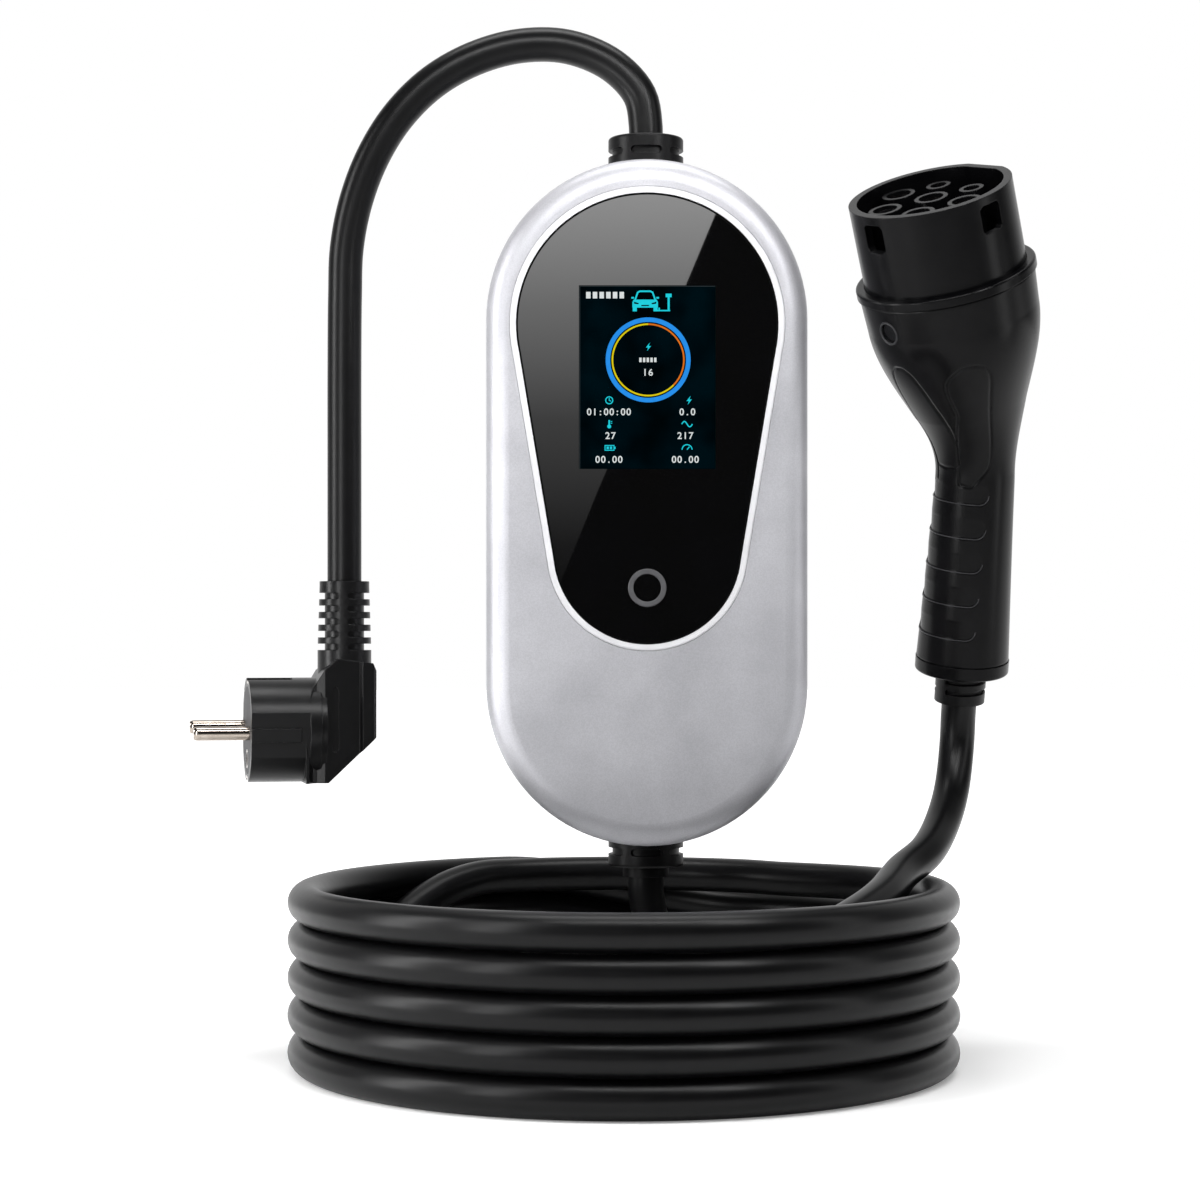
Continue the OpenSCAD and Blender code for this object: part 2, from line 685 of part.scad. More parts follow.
module terminal_blocks() {
    color("seagreen") in_box() {
        terminal_block(block_y, mains_cores);
        terminal_block(-block_y - block_d, lead_cores);
    }
}

module case_screws() {
    color("gray") in_box() for (p = screw_spots) translate([p.x, p.y, screw_seat]) {
        translate([0, 0, -screw_head_h]) cylinder(h = screw_head_h, r = screw_head_r);
        translate([0, 0, -cut]) cylinder(h = screw_bite - screw_seat + cut, r = screw_r);
    }
}

module board_screws() {
    head = 1.8;
    color("gray") in_box() for (p = board_spots) translate([p.x, p.y, board_front]) {
        cylinder(h = head, r = small_head_r);
        translate([0, 0, -board_t - board_screw_len + 0.5])
            cylinder(h = board_t + board_screw_len, r = small_screw_r);
    }
}

module cord_clamp(y, r) {
    difference() {
        translate([-clamp_x - clamp_half, y - clamp_half, 0])
            cube([2 * (clamp_x + clamp_half), 2 * clamp_half, clamp_top]);
        translate([0, y, 0]) rotate([90, 0, 0]) cylinder(h = 4 * clamp_half, r = r + fit_gap, center = true);
        for (x = [-clamp_x, clamp_x])
            translate([x, y, -cut]) cylinder(h = clamp_top + 2 * cut, r = small_screw_r + fit_gap);
    }
}

module cord_clamps() {
    color("dimgray") in_box() {
        cord_clamp(clamp_y, mains_r);
        cord_clamp(-clamp_y, lead_r);
    }
}

module clamp_screws() {
    head = 1.8;
    color("gray") in_box() for (x = [-clamp_x, clamp_x], y = [-clamp_y, clamp_y]) translate([x, y, clamp_top]) {
        cylinder(h = head, r = small_head_r);
        translate([0, 0, -clamp_top - clamp_screw_len + 0.5])
            cylinder(h = clamp_top + clamp_screw_len, r = small_screw_r);
    }
}

module mains_gland() {
    color("black") in_box() translate([0, box_h / 2, 0]) rotate([-90, 0, 0])
        gland(mains_gland_h, mains_gland_h - 6.8, mains_r + 1, 0, mains_r);
}

module lead_gland() {
    color("black") in_box() translate([0, -box_h / 2, 0]) rotate([90, 0, 0])
        gland(lead_gland_h, 1.8, lead_nose_r, lead_nose_h, lead_r);
}

module mains_tail() {
    color("black") in_box() translate([0, tail_end, 0]) rotate([-90, 0, 0])
        cylinder(h = box_h / 2 + mains_gland_h - tail_end, r = mains_r);
}

module lead_tail() {
    color("black") in_box() translate([0, -tail_end, 0]) rotate([90, 0, 0])
        cylinder(h = box_h / 2 + lead_gland_h + lead_nose_h - tail_end, r = lead_r);
}

module wire_run(cores, side, spread) {
    entry = block_y + block_d;
    count = len(cores);
    for (i = [0 : count - 1]) {
        start = [spread[i].x, side * tail_end, spread[i].y];
        goal = [cores[i], side * (entry + 3), board_front + core_entry];
        tube([start, start - [0, side * 3, 0], goal, goal - [0, side * 11, 0]], core_r, [0, 0, 1]);
    }
}

module mains_wires() {
    ring = 3.2;
    color("saddlebrown") in_box()
        wire_run(mains_cores, 1, [for (a = [180, 60, 300]) ring * [cos(a), sin(a)]]);
}

module lead_wires() {
    ring = 3.7;
    color("steelblue") in_box()
        wire_run(lead_cores, -1, [for (a = [180, 108, 252, 36, 324]) ring * [cos(a), sin(a)]]);
}

// Mains lead and its plug.
module mains_cable() {
    color("black") tube(mains_route, mains_r, [0, 1, 0]);
}

module sleeve_slot(row) {
    foot = sleeve_base + row * sleeve_pitch;
    high = slot_h - 0.2;
    for (side = [0, 180]) rotate([0, 0, side + sleeve_turn]) {
        rotate([0, 0, sleeve_web - 90]) rotate_extrude(angle = 180 - 2 * sleeve_web)
            translate([sleeve_core_r, foot]) square([4, high]);
        for (a = [sleeve_web - 90, 90 - sleeve_web])
            rotate([0, 0, a]) translate([sleeve_core_r, 0, foot + high / 2]) rotate([0, 90, 0])
                cylinder(h = 4, r = high / 2);
    }
}

module grip_side() {
    polygon([[-15, -plug_r], [-7, -plug_r], [9.9, -2.6], [9.9, 20.4], [8.6, 23], [-3.6, 24.4],
        [-8.5, 20.5], [-12.5, 14], [-15, 6]]);
}

module grip_plan() {
    polygon(concat([for (p = grip_half) [p.x, -p.y]],
        [for (i = [len(grip_half) - 1 : -1 : 0]) grip_half[i]]));
}

module grip_groove() {
    rotate([90, 0, 0]) linear_extrude(plug_r) hull() {
        for (z = [groove_low, groove_top]) translate([groove_x, z]) circle(groove_half);
    }
}

module plug_body() {
    color("black") in_plug() difference() {
        union() {
            rotate([plug_roll, 0, 0]) difference() {
                rotate([0, 90, 0]) translate([0, 0, face_x]) rotate_extrude() {
                    square([plug_r, 24]);
                    square([plug_r - 1, 26]);
                }
                for (m = [0, 1]) mirror([0, m, 0]) difference() {
                    translate([face_x - cut, plug_r - plug_flat, -plug_r])
                        cube([20 + cut, plug_flat + cut, 2 * plug_r]);
                    translate([face_x - 2 * cut, plug_r - 2 * plug_flat, -rib_h / 2])
                        cube([19, 2 * plug_flat - 0.7, rib_h]);
                }
            }
            intersection() {
                rotate([90, 0, 0]) linear_extrude(2 * plug_r + 2, center = true) grip_side();
                translate([0, 0, -plug_r]) linear_extrude(3 * plug_r) grip_plan();
            }
            intersection() {
                translate([0, 0, -plug_r]) cylinder(h = plug_r + sleeve_base + cut, r = sleeve_r);
                rotate([90, 0, 0]) linear_extrude(4 * plug_r, center = true)
                    polygon([[-20, -plug_r], [-7, -plug_r], [9.9, -2.6], [9.9, 40], [-20, 40]]);
            }
            translate([0, 0, sleeve_base]) cylinder(h = sleeve_rows * sleeve_pitch, r1 = sleeve_r, r2 = sleeve_top_r);
            translate([0, 0, sleeve_base + sleeve_rows * sleeve_pitch])
                cylinder(h = sleeve_collar, r = sleeve_top_r);
        }
        for (row = [0 : sleeve_rows - 1]) sleeve_slot(row);
        for (m = [0, 1]) mirror([0, m, 0]) translate([0, -groove_floor, 0]) grip_groove();
        translate([0, 0, sleeve_top - 12]) cylinder(h = 12 + cut, r = mains_r + fit_gap);
        rotate([plug_roll, 0, 0]) {
            rotate([0, 90, 0]) translate([0, 0, face_x - cut]) cylinder(h = face_t + cut, r = face_r + fit_gap);
            for (m = [0, 1]) mirror([0, 0, m]) translate([face_x - cut, -strip_w / 2 - fit_gap, plug_r - strip_t - 1])
                cube([strip_len + cut + fit_gap, strip_w + 2 * fit_gap, strip_t + 2]);
        }
    }
}

module plug_face() {
    color("dimgray") in_plug() rotate([plug_roll, 0, 0]) difference() {
        rotate([0, 90, 0]) translate([0, 0, face_x]) cylinder(h = face_t, r = face_r);
        for (y = [-pin_pitch / 2, pin_pitch / 2]) translate([face_x - cut, y, 0]) rotate([0, 90, 0])
            cylinder(h = face_t + 2 * cut, r = pin_root_r + fit_gap);
        translate([face_x - cut, 0, -earth_socket_drop]) rotate([0, 90, 0])
            cylinder(h = face_t + 2 * cut, r = earth_bore_r + 0.8 + fit_gap);
    }
}

module mains_pins() {
    color("gainsboro") in_plug() rotate([plug_roll, 0, 0])
        for (y = [-pin_pitch / 2, pin_pitch / 2]) translate([face_x, y, 0]) rotate([0, -90, 0]) {
            cylinder(h = pin_len - pin_r * 0.6, r = pin_r);
            translate([0, 0, -face_t]) cylinder(h = face_t + cut, r = pin_root_r);
            translate([0, 0, pin_len - pin_r * 0.6]) intersection() {
                sphere(pin_r);
                translate([-pin_r, -pin_r, 0]) cube([2 * pin_r, 2 * pin_r, pin_r * 0.6]);
            }
        }
}

module earth_strips() {
    color("gainsboro") in_plug() rotate([plug_roll, 0, 0]) for (m = [0, 1]) mirror([0, 0, m])
        translate([face_x, -strip_w / 2, plug_r - strip_t - 1]) cube([strip_len, strip_w, strip_t]);
}

module earth_socket() {
    color("gainsboro") in_plug() rotate([plug_roll, 0, 0]) translate([face_x, 0, -earth_socket_drop])
        rotate([0, 90, 0]) difference() {
            cylinder(h = face_t, r = earth_bore_r + 0.8);
            translate([0, 0, -cut]) cylinder(h = face_t + 2 * cut, r = earth_bore_r);
        }
}

// Vehicle lead.
module lead_drop() {
    color("black") tube(drop_route, lead_r, [0, 1, 0]);
}

module lead_coil() {
    color("black") rotate_extrude() {
        for (k = [0 : turns - 1]) translate([coil_r, lead_r * (2 * k + 1)]) circle(lead_r);
        translate([coil_r - coil_foot, 0]) square([2 * coil_foot, coil_top]);
    }
}

module lead_rise() {
    color("black") tube(rise_route, lead_r, [0, 1, 0]);
}

// Vehicle connector.
module d_outline(r, flat) {
    intersection() {
        circle(r);
        translate([-flat, -r]) square([flat + r, 2 * r]);
    }
}

module connector_shroud() {
    color("black") in_head() difference() {
        union() {
            translate([0, 0, flange_at]) linear_extrude(mouth_at - flange_at) d_outline(shroud_r, shroud_flat);
            translate([0, 0, shroud_foot]) linear_extrude(flange_at - shroud_foot + cut) d_outline(spigot_r, spigot_r - 2);
        }
        translate([0, 0, carrier_foot]) linear_extrude(mouth_at - carrier_foot + cut)
            d_outline(shroud_r - shroud_wall, shroud_flat - shroud_wall);
        translate([0, 0, shroud_foot - cut]) linear_extrude(10) d_outline(throat_r, throat_flat);
        for (a = [0, 90]) rotate([0, 0, a])
            translate([shroud_r - 2 * shroud_wall, 0, mouth_at - window_drop - window_h / 2]) rotate([90, 0, 90])
                linear_extrude(3 * shroud_wall) offset(window_round)
                    square([window_w - 2 * window_round, window_h - 2 * window_round], center = true);
    }
}

module carrier_collar(spots, r) {
    for (p = spots) translate([p.x, p.y, carrier_foot]) cylinder(h = collar_top - carrier_foot, r = r);
}

module contact_carrier() {
    edge = shroud_wall + fit_gap;
    color("black") in_head() difference() {
        union() {
            translate([0, 0, carrier_foot]) linear_extrude(carrier_top - carrier_foot)
                d_outline(shroud_r - edge, shroud_flat - edge);
            carrier_collar(power_spots, power_collar_r);
            carrier_collar(blank_spots, power_collar_r);
            carrier_collar(signal_spots, signal_collar_r);
        }
        for (p = power_spots) translate([p.x, p.y, carrier_foot - cut])
            cylinder(h = mouth_at - carrier_foot, r = power_r + fit_gap);
        for (p = signal_spots) translate([p.x, p.y, carrier_foot - cut])
            cylinder(h = mouth_at - carrier_foot, r = signal_r + fit_gap);
        for (p = blank_spots) translate([p.x, p.y, collar_top - 1.5]) cylinder(h = 3, r = power_r);
    }
}

module contact(r, bore) {
    difference() {
        union() {
            translate([0, 0, contact_foot]) cylinder(h = contact_top - contact_foot, r = r);
            translate([0, 0, contact_foot]) cylinder(h = carrier_foot - contact_foot, r = r + 0.8);
        }
        translate([0, 0, contact_top - contact_deep]) cylinder(h = contact_deep + cut, r = bore);
    }
}

module power_contacts() {
    color("silver") in_head() for (p = power_spots) translate(p) contact(power_r, power_bore_r);
}

module signal_contacts() {
    color("silver") in_head() for (p = signal_spots) translate(p) contact(signal_r, signal_bore_r);
}

module connector_flange() {
    lip = 0.8;
    color("black") in_head() difference() {
        translate([0, 0, flange_at]) rotate_extrude() {
            square([flange_r, flange_t - lip]);
            square([flange_r - lip, flange_t]);
            translate([flange_r - lip, flange_t - lip]) circle(lip);
        }
        translate([0, 0, flange_at - cut]) linear_extrude(flange_t + 2 * cut)
            d_outline(shroud_r + fit_gap, shroud_flat + fit_gap);
    }
}

module housing_skin() {
    outer = len(outer_rings) / sides;
    inner = len(inner_rings) / sides;
    first = outer * sides;
    last = first + (inner - 1) * sides;
    walls = [for (i = [0 : outer - 2], k = [0 : sides - 1]) let (n = (k + 1) % sides) each [
        [i * sides + k, (i + 1) * sides + k, i * sides + n],
        [i * sides + n, (i + 1) * sides + k, (i + 1) * sides + n]]];
    lining = [for (i = [0 : inner - 2], k = [0 : sides - 1]) let (n = (k + 1) % sides) each [
        [first + i * sides + k, first + i * sides + n, first + (i + 1) * sides + k],
        [first + i * sides + n, first + (i + 1) * sides + n, first + (i + 1) * sides + k]]];
    foot = [for (k = [0 : sides - 1]) let (n = (k + 1) % sides) each [
        [k, n, first + k], [n, first + n, first + k]]];
    top = [for (k = [0 : sides - 1]) let (n = (k + 1) % sides) each [
        [(outer - 1) * sides + k, last + k, (outer - 1) * sides + n],
        [(outer - 1) * sides + n, last + k, last + n]]];
    polyhedron(concat(outer_rings, inner_rings), concat(walls, lining, foot, top));
}

module cap_place() {
    translate([spine_r(cap_at), 0, cap_at]) rotate([0, 90 + cap_tilt, 0]) children();
}

module connector_housing() {
    color("black") in_handle() difference() {
        housing_skin();
        rotate([0, head_bend, 0]) translate([0, 0, spine_slip]) rotate([0, 0, finger_turn]) cap_place()
            translate([0, 0, -cap_deep]) cylinder(h = 3 * cap_deep, r = cap_r);
    }
}

module inlay(rows, k_from, k_to) {
    wide = k_to - k_from + 1;
    high = rows[1] - rows[0] + 1;
    half = wide * high;
    shell = [for (t = [inlay_t, 0], j = [rows[0] : rows[1]], k = [k_from : k_to])
        skin(head_s(j), spine_r(head_s(j)) - t, k * step + finger_turn)];
    faces = [for (j = [0 : high - 2], k = [0 : wide - 2]) let (a = j * wide + k, b = a + wide) each [
        [a, a + 1, b], [a + 1, b + 1, b],
        [half + a, half + b, half + a + 1], [half + a + 1, half + b, half + b + 1]]];
    ends = [for (k = [0 : wide - 2]) let (a = k, b = half - wide + k) each [
        [a, half + a, a + 1], [a + 1, half + a, half + a + 1],
        [b, b + 1, half + b], [b + 1, half + b + 1, half + b]]];
    edges = [for (j = [0 : high - 2]) let (a = j * wide, b = a + wide - 1) each [
        [a, a + wide, half + a], [a + wide, half + a + wide, half + a],
        [b, half + b, b + wide], [b + wide, half + b, half + b + wide]]];
    polyhedron(shell, concat(faces, ends, edges));
}

module finger_inlay() {
    color("dimgray") in_handle() inlay(finger_rows, -finger_side, finger_side);
}

module side_inlays() {
    color("dimgray") in_handle() {
        inlay(side_rows, side_from, side_to);
        inlay(side_rows, -side_to, -side_from);
    }
}

module housing_screw() {
    color("gray") in_head() cap_place() translate([0, 0, -cap_deep]) cylinder(h = 1.2, r = cap_r - fit_gap);
}

module end_ring() {
    lip = 0.8;
    color("black") in_grip() translate([0, 0, -handle_len]) difference() {
        rotate_extrude() {
            translate([0, lip]) square([handle_end_r, end_ring_h - lip]);
            square([handle_end_r - lip, end_ring_h]);
            translate([handle_end_r - lip, lip]) circle(lip);
        }
        translate([0, 0, -cut]) cylinder(h = end_ring_h + 2 * cut, r = tail_sleeve_r + fit_gap);
    }
}

module tail_slot(foot, turn) {
    for (a = [-90, 90]) rotate([0, 0, a + turn - 72]) rotate_extrude(angle = 144)
        translate([tail_sleeve_r - 1.4, foot]) square([4, 1.6]);
}

module tail_sleeve() {
    color("black") in_grip() difference() {
        union() {
            translate([0, 0, -tail_sleeve_end]) cylinder(h = tail_sleeve_len + end_ring_h, r = tail_sleeve_r);
            translate([0, 0, housing_foot]) cylinder(h = tail_flange - housing_foot, r = handle_end_r - 5);
        }
        translate([0, 0, -tail_sleeve_end - cut]) cylinder(h = tail_flange + tail_sleeve_end + 2 * cut, r = lead_r + fit_gap);
        tail_slot(-handle_len - 3.6, 0);
        tail_slot(-handle_len - 7.4, 0);
    }
}

module connector_tail() {
    color("black") in_grip() translate([0, 0, -tail_sleeve_end])
        cylinder(h = tail_in + tail_sleeve_end, r = lead_r);
}

front_shell();
rear_shell();
case_seal();
bezel_ring();
display_panel();
lcd_module();
touch_ring();
display_board();
display_ribbon();
main_board();
relays();
current_sensor();
power_module();
capacitors();
terminal_blocks();
case_screws();
board_screws();
cord_clamps();
clamp_screws();
mains_gland();
lead_gland();
mains_tail();
lead_tail();
mains_wires();
lead_wires();
mains_cable();
plug_body();
plug_face();
mains_pins();
earth_strips();
earth_socket();
lead_drop();
lead_coil();
lead_rise();
connector_shroud();
contact_carrier();
power_contacts();
signal_contacts();
connector_flange();
connector_housing();
finger_inlay();
side_inlays();
housing_screw();
end_ring();
tail_sleeve();
connector_tail();
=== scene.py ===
"""Portable charger for electric cars: looks, leads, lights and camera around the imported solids."""
import math

import bmesh
import bpy
import numpy as np
from mathutils import Matrix, Vector


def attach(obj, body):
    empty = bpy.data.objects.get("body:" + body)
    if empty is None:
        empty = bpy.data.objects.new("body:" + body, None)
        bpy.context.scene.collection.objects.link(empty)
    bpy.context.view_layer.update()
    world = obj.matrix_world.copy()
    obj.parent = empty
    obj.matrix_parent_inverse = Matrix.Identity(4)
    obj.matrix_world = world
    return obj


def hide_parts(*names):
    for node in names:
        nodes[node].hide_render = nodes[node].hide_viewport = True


MM = 0.001

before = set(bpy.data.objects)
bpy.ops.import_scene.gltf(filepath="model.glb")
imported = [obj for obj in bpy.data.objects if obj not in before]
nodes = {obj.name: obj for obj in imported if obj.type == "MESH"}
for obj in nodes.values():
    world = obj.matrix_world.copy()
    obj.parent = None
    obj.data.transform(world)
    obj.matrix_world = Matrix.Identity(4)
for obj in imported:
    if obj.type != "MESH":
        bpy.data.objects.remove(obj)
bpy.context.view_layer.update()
scene = bpy.context.scene
scene.view_settings.view_transform = "Standard"


# Camera: level, in front of the display, as in the photograph
CAMERA_AT = (-7.9, -911.0, 145.0)
FOCAL_PX = 2711.0
HORIZON_ROW = 633.0
FRAME_PX = 1200.0
SENSOR = 36.0
NEAREST = 50.0


def linked(name, data):
    """A new object with this data, in the scene."""
    piece = bpy.data.objects.new(name, data)
    scene.collection.objects.link(piece)
    return piece


def baked_mesh(piece):
    """The mesh that an object's settings and modifiers give."""
    return bpy.data.meshes.new_from_object(piece.evaluated_get(bpy.context.evaluated_depsgraph_get()))


def thicken(piece, depth):
    """Depth behind a flat piece, away from its front."""
    skin = piece.modifiers.new("thickness", "SOLIDIFY")
    skin.thickness = depth * MM
    skin.offset = -1.0


def make_camera():
    data = bpy.data.cameras.new("photo_camera")
    data.sensor_width = SENSOR
    data.lens = FOCAL_PX / FRAME_PX * SENSOR
    data.shift_y = (HORIZON_ROW - FRAME_PX / 2) / FRAME_PX
    data.clip_start = NEAREST * MM
    camera = linked("photo_camera", data)
    camera.location = Vector(CAMERA_AT) * MM
    camera.rotation_euler = (math.radians(90), 0, 0)
    scene.camera = camera


make_camera()


# Materials: sizes in millimetres
EDGE_ROUND = 0.45
CLOUD_STOPS = (0.35, 0.65)
CLOUD_DETAIL, WEAR_DETAIL, GRAIN_DETAIL = 3.0, 4.0, 2.0
COLOUR_A, COLOUR_B, COLOUR_RESULT = 6, 7, 2


def linear(code):
    """A colour code as linear red, green, blue and alpha."""
    parts = [int(code[i:i + 2], 16) / 255 for i in (1, 3, 5)]
    return [c / 12.92 if c <= 0.04045 else ((c + 0.055) / 1.055) ** 2.4 for c in parts] + [1.0]


def put(tree, kind, inputs=None, **settings):
    node = tree.nodes.new(kind)
    for name, value in settings.items():
        setattr(node, name, value)
    for name, value in (inputs or {}).items():
        if isinstance(value, bpy.types.NodeSocket):
            tree.links.new(value, node.inputs[name])
        else:
            node.inputs[name].default_value = value
    return node


def bare_material(name):
    """A material with an empty node tree."""
    material = bpy.data.materials.new(name)
    material.use_nodes = True
    material.node_tree.nodes.clear()
    return material, material.node_tree


def new_material(name, **sockets):
    """A shaded material, with its tree, its shader and the coordinates for its patterns."""
    material, tree = bare_material(name)
    shader = put(tree, "ShaderNodeBsdfPrincipled", {k.replace("_", " "): v for k, v in sockets.items()})
    put(tree, "ShaderNodeOutputMaterial", {"Surface": shader.outputs[0]})
    coords = put(tree, "ShaderNodeTexCoord").outputs["Object"]
    return material, tree, shader, coords


def noise(tree, coords, size_mm, detail):
    """An even noise with features about size_mm across."""
    scale = 1 / (size_mm * MM)
    texture = put(tree, "ShaderNodeTexNoise", {"Vector": coords, "Scale": scale, "Detail": detail})
    return texture.outputs["Fac"]


def mottled(tree, coords, size_mm, low, high, detail=CLOUD_DETAIL):
    """A cloudy change between two colours, one cloud about size_mm across."""
    ramp = put(tree, "ShaderNodeValToRGB", {"Fac": noise(tree, coords, size_mm, detail)})
    for stop, position, colour in zip(ramp.color_ramp.elements, CLOUD_STOPS, (low, high)):
        stop.position, stop.color = position, colour
    return ramp.outputs["Color"]


def worn(tree, coords, size_mm, low, high):
    """A number that wanders between low and high, for roughness."""
    wander = noise(tree, coords, size_mm, WEAR_DETAIL)
    spread = put(tree, "ShaderNodeMapRange", {"Value": wander, "To Min": low, "To Max": high})
    return spread.outputs["Result"]


def grained(tree, coords, shader, size_mm, height_mm):
    """Moulded grain: fine bumps about size_mm wide, over edges that a mould leaves slightly round."""
    grain = noise(tree, coords, size_mm, GRAIN_DETAIL)
    edge = put(tree, "ShaderNodeBevel", {"Radius": EDGE_ROUND * MM})
    bump = put(tree, "ShaderNodeBump", {"Height": grain, "Distance": height_mm * MM, "Strength": 1.0,
                                        "Normal": edge.outputs["Normal"]})
    tree.links.new(bump.outputs["Normal"], shader.inputs["Normal"])


def mixed(tree, factor, first, second, blend="MIX"):
    """Two colours mixed by a factor."""
    mix = put(tree, "ShaderNodeMix", {"Factor": factor}, data_type="RGBA", blend_type=blend)
    tree.links.new(first, mix.inputs[COLOUR_A])
    tree.links.new(second, mix.inputs[COLOUR_B])
    return mix.outputs[COLOUR_RESULT]


def finished(name, clouds, wear, grain=None, **sockets):
    """A cloudy colour, a wandering roughness and, with grain, a fine skin: each starts with its size."""
    material, tree, shader, coords = new_material(name, **sockets)
    size_mm, low, high = clouds
    tree.links.new(mottled(tree, coords, size_mm, linear(low), linear(high)), shader.inputs["Base Color"])
    tree.links.new(worn(tree, coords, *wear), shader.inputs["Roughness"])
    if grain:
        grained(tree, coords, shader, *grain)
    return material


def silver_lacquered_abs():
    """ABS with silver lacquer: satin, slightly cloudy, with fine flakes."""
    material, tree, shader, coords = new_material("silver_lacquered_abs", Metallic=0.65)
    clouds = mottled(tree, coords, 30, linear("#b7b7bc"), linear("#c6c6cb"))
    flakes = mottled(tree, coords, 0.4, linear("#f3f3f3"), linear("#ffffff"), 1.0)
    tree.links.new(mixed(tree, 1.0, clouds, flakes, "MULTIPLY"), shader.inputs["Base Color"])
    tree.links.new(worn(tree, coords, 3.0, 0.47, 0.53), shader.inputs["Roughness"])
    grained(tree, coords, shader, 0.5, 0.012)
    return material


def bezel_highlight_finish():
    """Satin ABS band around the panel, slightly metallic and lighter than the shells: the lighter colour is a
    painted highlight for the light caught on its chamfered edge.
    """
    return finished("bezel_abs_painted_highlight", (12, "#e2e2e5", "#ececef"), (2, 0.26, 0.34), Metallic=0.3)


def black_gloss_acrylic():
    """Cast acrylic, black and polished under a hard coat: a mirror-like face with faint handling haze."""
    return finished("black_gloss_acrylic", (30, "#030303", "#040405"), (14, 0.008, 0.014), IOR=1.49,
                    Specular_IOR_Level=1.0, Coat_Weight=1.0, Coat_IOR=1.7, Coat_Roughness=0.01)


def display_glass():
    """Anti-glare display glass: nearly black with a blue-green cast and a faint uneven backlight."""
    material, tree, shader, coords = new_material("display_glass", Roughness=0.45, Specular_IOR_Level=0.0,
                                                  Emission_Strength=0.6)
    glow = mottled(tree, coords, 16, linear("#000203"), linear("#00070b"), 2.0)
    tree.links.new(glow, shader.inputs["Base Color"])
    tree.links.new(glow, shader.inputs["Emission Color"])
    return material


def lit_pixels(name, code, strength=0.85):
    """Lit display segments in one colour, with a faint change along the lines."""
    material, tree, shader, coords = new_material(name, Roughness=0.5, Specular_IOR_Level=0.0,
                                                  Base_Color=linear("#050505"), Emission_Strength=strength)
    low = [c * 0.9 for c in linear(code)[:3]] + [1.0]
    tree.links.new(mottled(tree, coords, 1.5, low, linear(code)), shader.inputs["Emission Color"])
    return material


def black_rubber(name, base="#060607", lighter="#09090a", rough=(0.26, 0.34), grain=0.35, height=0.02,
                 sheen=0.18):
    """Moulded or extruded rubber: near black with a satin sheen and a fine skin."""
    return finished(name, (7, base, lighter), (4, *rough), (grain, height), IOR=1.52,
                    Specular_IOR_Level=sheen)


def grip_nylon():
    """Moulded nylon with soft rubber inlays of the same black: the inlays are a little lighter and duller."""
    material, tree, shader, coords = new_material("moulded_nylon_and_rubber", IOR=1.52,
                                                  Specular_IOR_Level=0.13)
    soft = put(tree, "ShaderNodeAttribute", attribute_name="soft").outputs["Fac"]
    skin = mottled(tree, coords, 7, linear("#050506"), linear("#080809"))
    pad = mottled(tree, coords, 5, linear("#0a0a0b"), linear("#0d0d0e"))
    tree.links.new(mixed(tree, soft, skin, pad), shader.inputs["Base Color"])
    dull = put(tree, "ShaderNodeMapRange", {"Value": soft, "To Min": 0.26, "To Max": 0.36})
    tree.links.new(dull.outputs["Result"], shader.inputs["Roughness"])
    grained(tree, coords, shader, 0.5, 0.012)
    return material


def nickel_plated_brass():
    """Nickel plate over turned brass: bright, with faint turning marks."""
    return finished("nickel_plated_brass", (5, "#a79c91", "#b8aea4"), (0.8, 0.1, 0.18), Metallic=1.0)


def zinc_steel():
    """Zinc-plated screws."""
    return finished("zinc_plated_steel", (2, "#8d8d8f", "#a4a4a6"), (1, 0.3, 0.45), Metallic=1.0)


def glass_fibre_board():
    """Green solder mask over glass fibre."""
    return finished("glass_fibre_board", (6, "#123c22", "#1a4d2c"), (3, 0.3, 0.4), IOR=1.5)


def plain_moulding(name, low, high):
    """Moulded nylon or coloured insulation for the hidden pieces."""
    return finished(name, (5, low, high), (2, 0.4, 0.55), IOR=1.5)


SILVER = silver_lacquered_abs()
BEZEL_HIGHLIGHT = bezel_highlight_finish()
ACRYLIC = black_gloss_acrylic()
GLASS = display_glass()
CABLE = black_rubber("extruded_cable_rubber", rough=(0.31, 0.37), height=0.003, sheen=0.2)
GLAND = black_rubber("moulded_gland_rubber", rough=(0.34, 0.42))
PLUG = black_rubber("moulded_plug_rubber", rough=(0.28, 0.36), grain=0.5, sheen=0.26)
FACE = black_rubber("plug_face_nylon", "#3c3c3e", "#464648", (0.5, 0.6))
HOUSING = black_rubber("moulded_nylon", "#040405", "#070708", (0.22, 0.28), 0.5, 0.01, 0.12)
GRIP = grip_nylon()
KEY = black_rubber("touch_key_abs", "#4a4a4c", "#565658", (0.3, 0.38))
# The beads' grey, lighter than the grip, is a painted highlight on lit edges; their low roughness also
# catches real highlights.
BEAD_HIGHLIGHT_GREY = black_rubber("bead_nylon_painted_highlight", "#2a2a2c", "#343436", (0.16, 0.22), 0.3, 0.005)
CAP = black_rubber("black_screw_finish", "#08080a", "#0c0c0e", (0.2, 0.28), 0.3, 0.01)
# The strip's near black is painted shade for the gap at the panel's edge.
GAP_SHADE = black_rubber("matt_painted_gap_shade", "#030303", "#050505", (0.6, 0.7), 0.4, 0.01, 0.05)
METAL = nickel_plated_brass()
SCREW = zinc_steel()
BOARD = glass_fibre_board()
NYLON = plain_moulding("green_terminal_nylon", "#1d5c36", "#26703f")
DEVICE = plain_moulding("black_device_nylon", "#131314", "#1a1a1b")
CAN = plain_moulding("capacitor_sleeve", "#3b3d42", "#4a4c52")
BROWN = plain_moulding("brown_insulation", "#4a2a18", "#5a3520")
BLUE = plain_moulding("blue_insulation", "#1e3f7c", "#284d92")

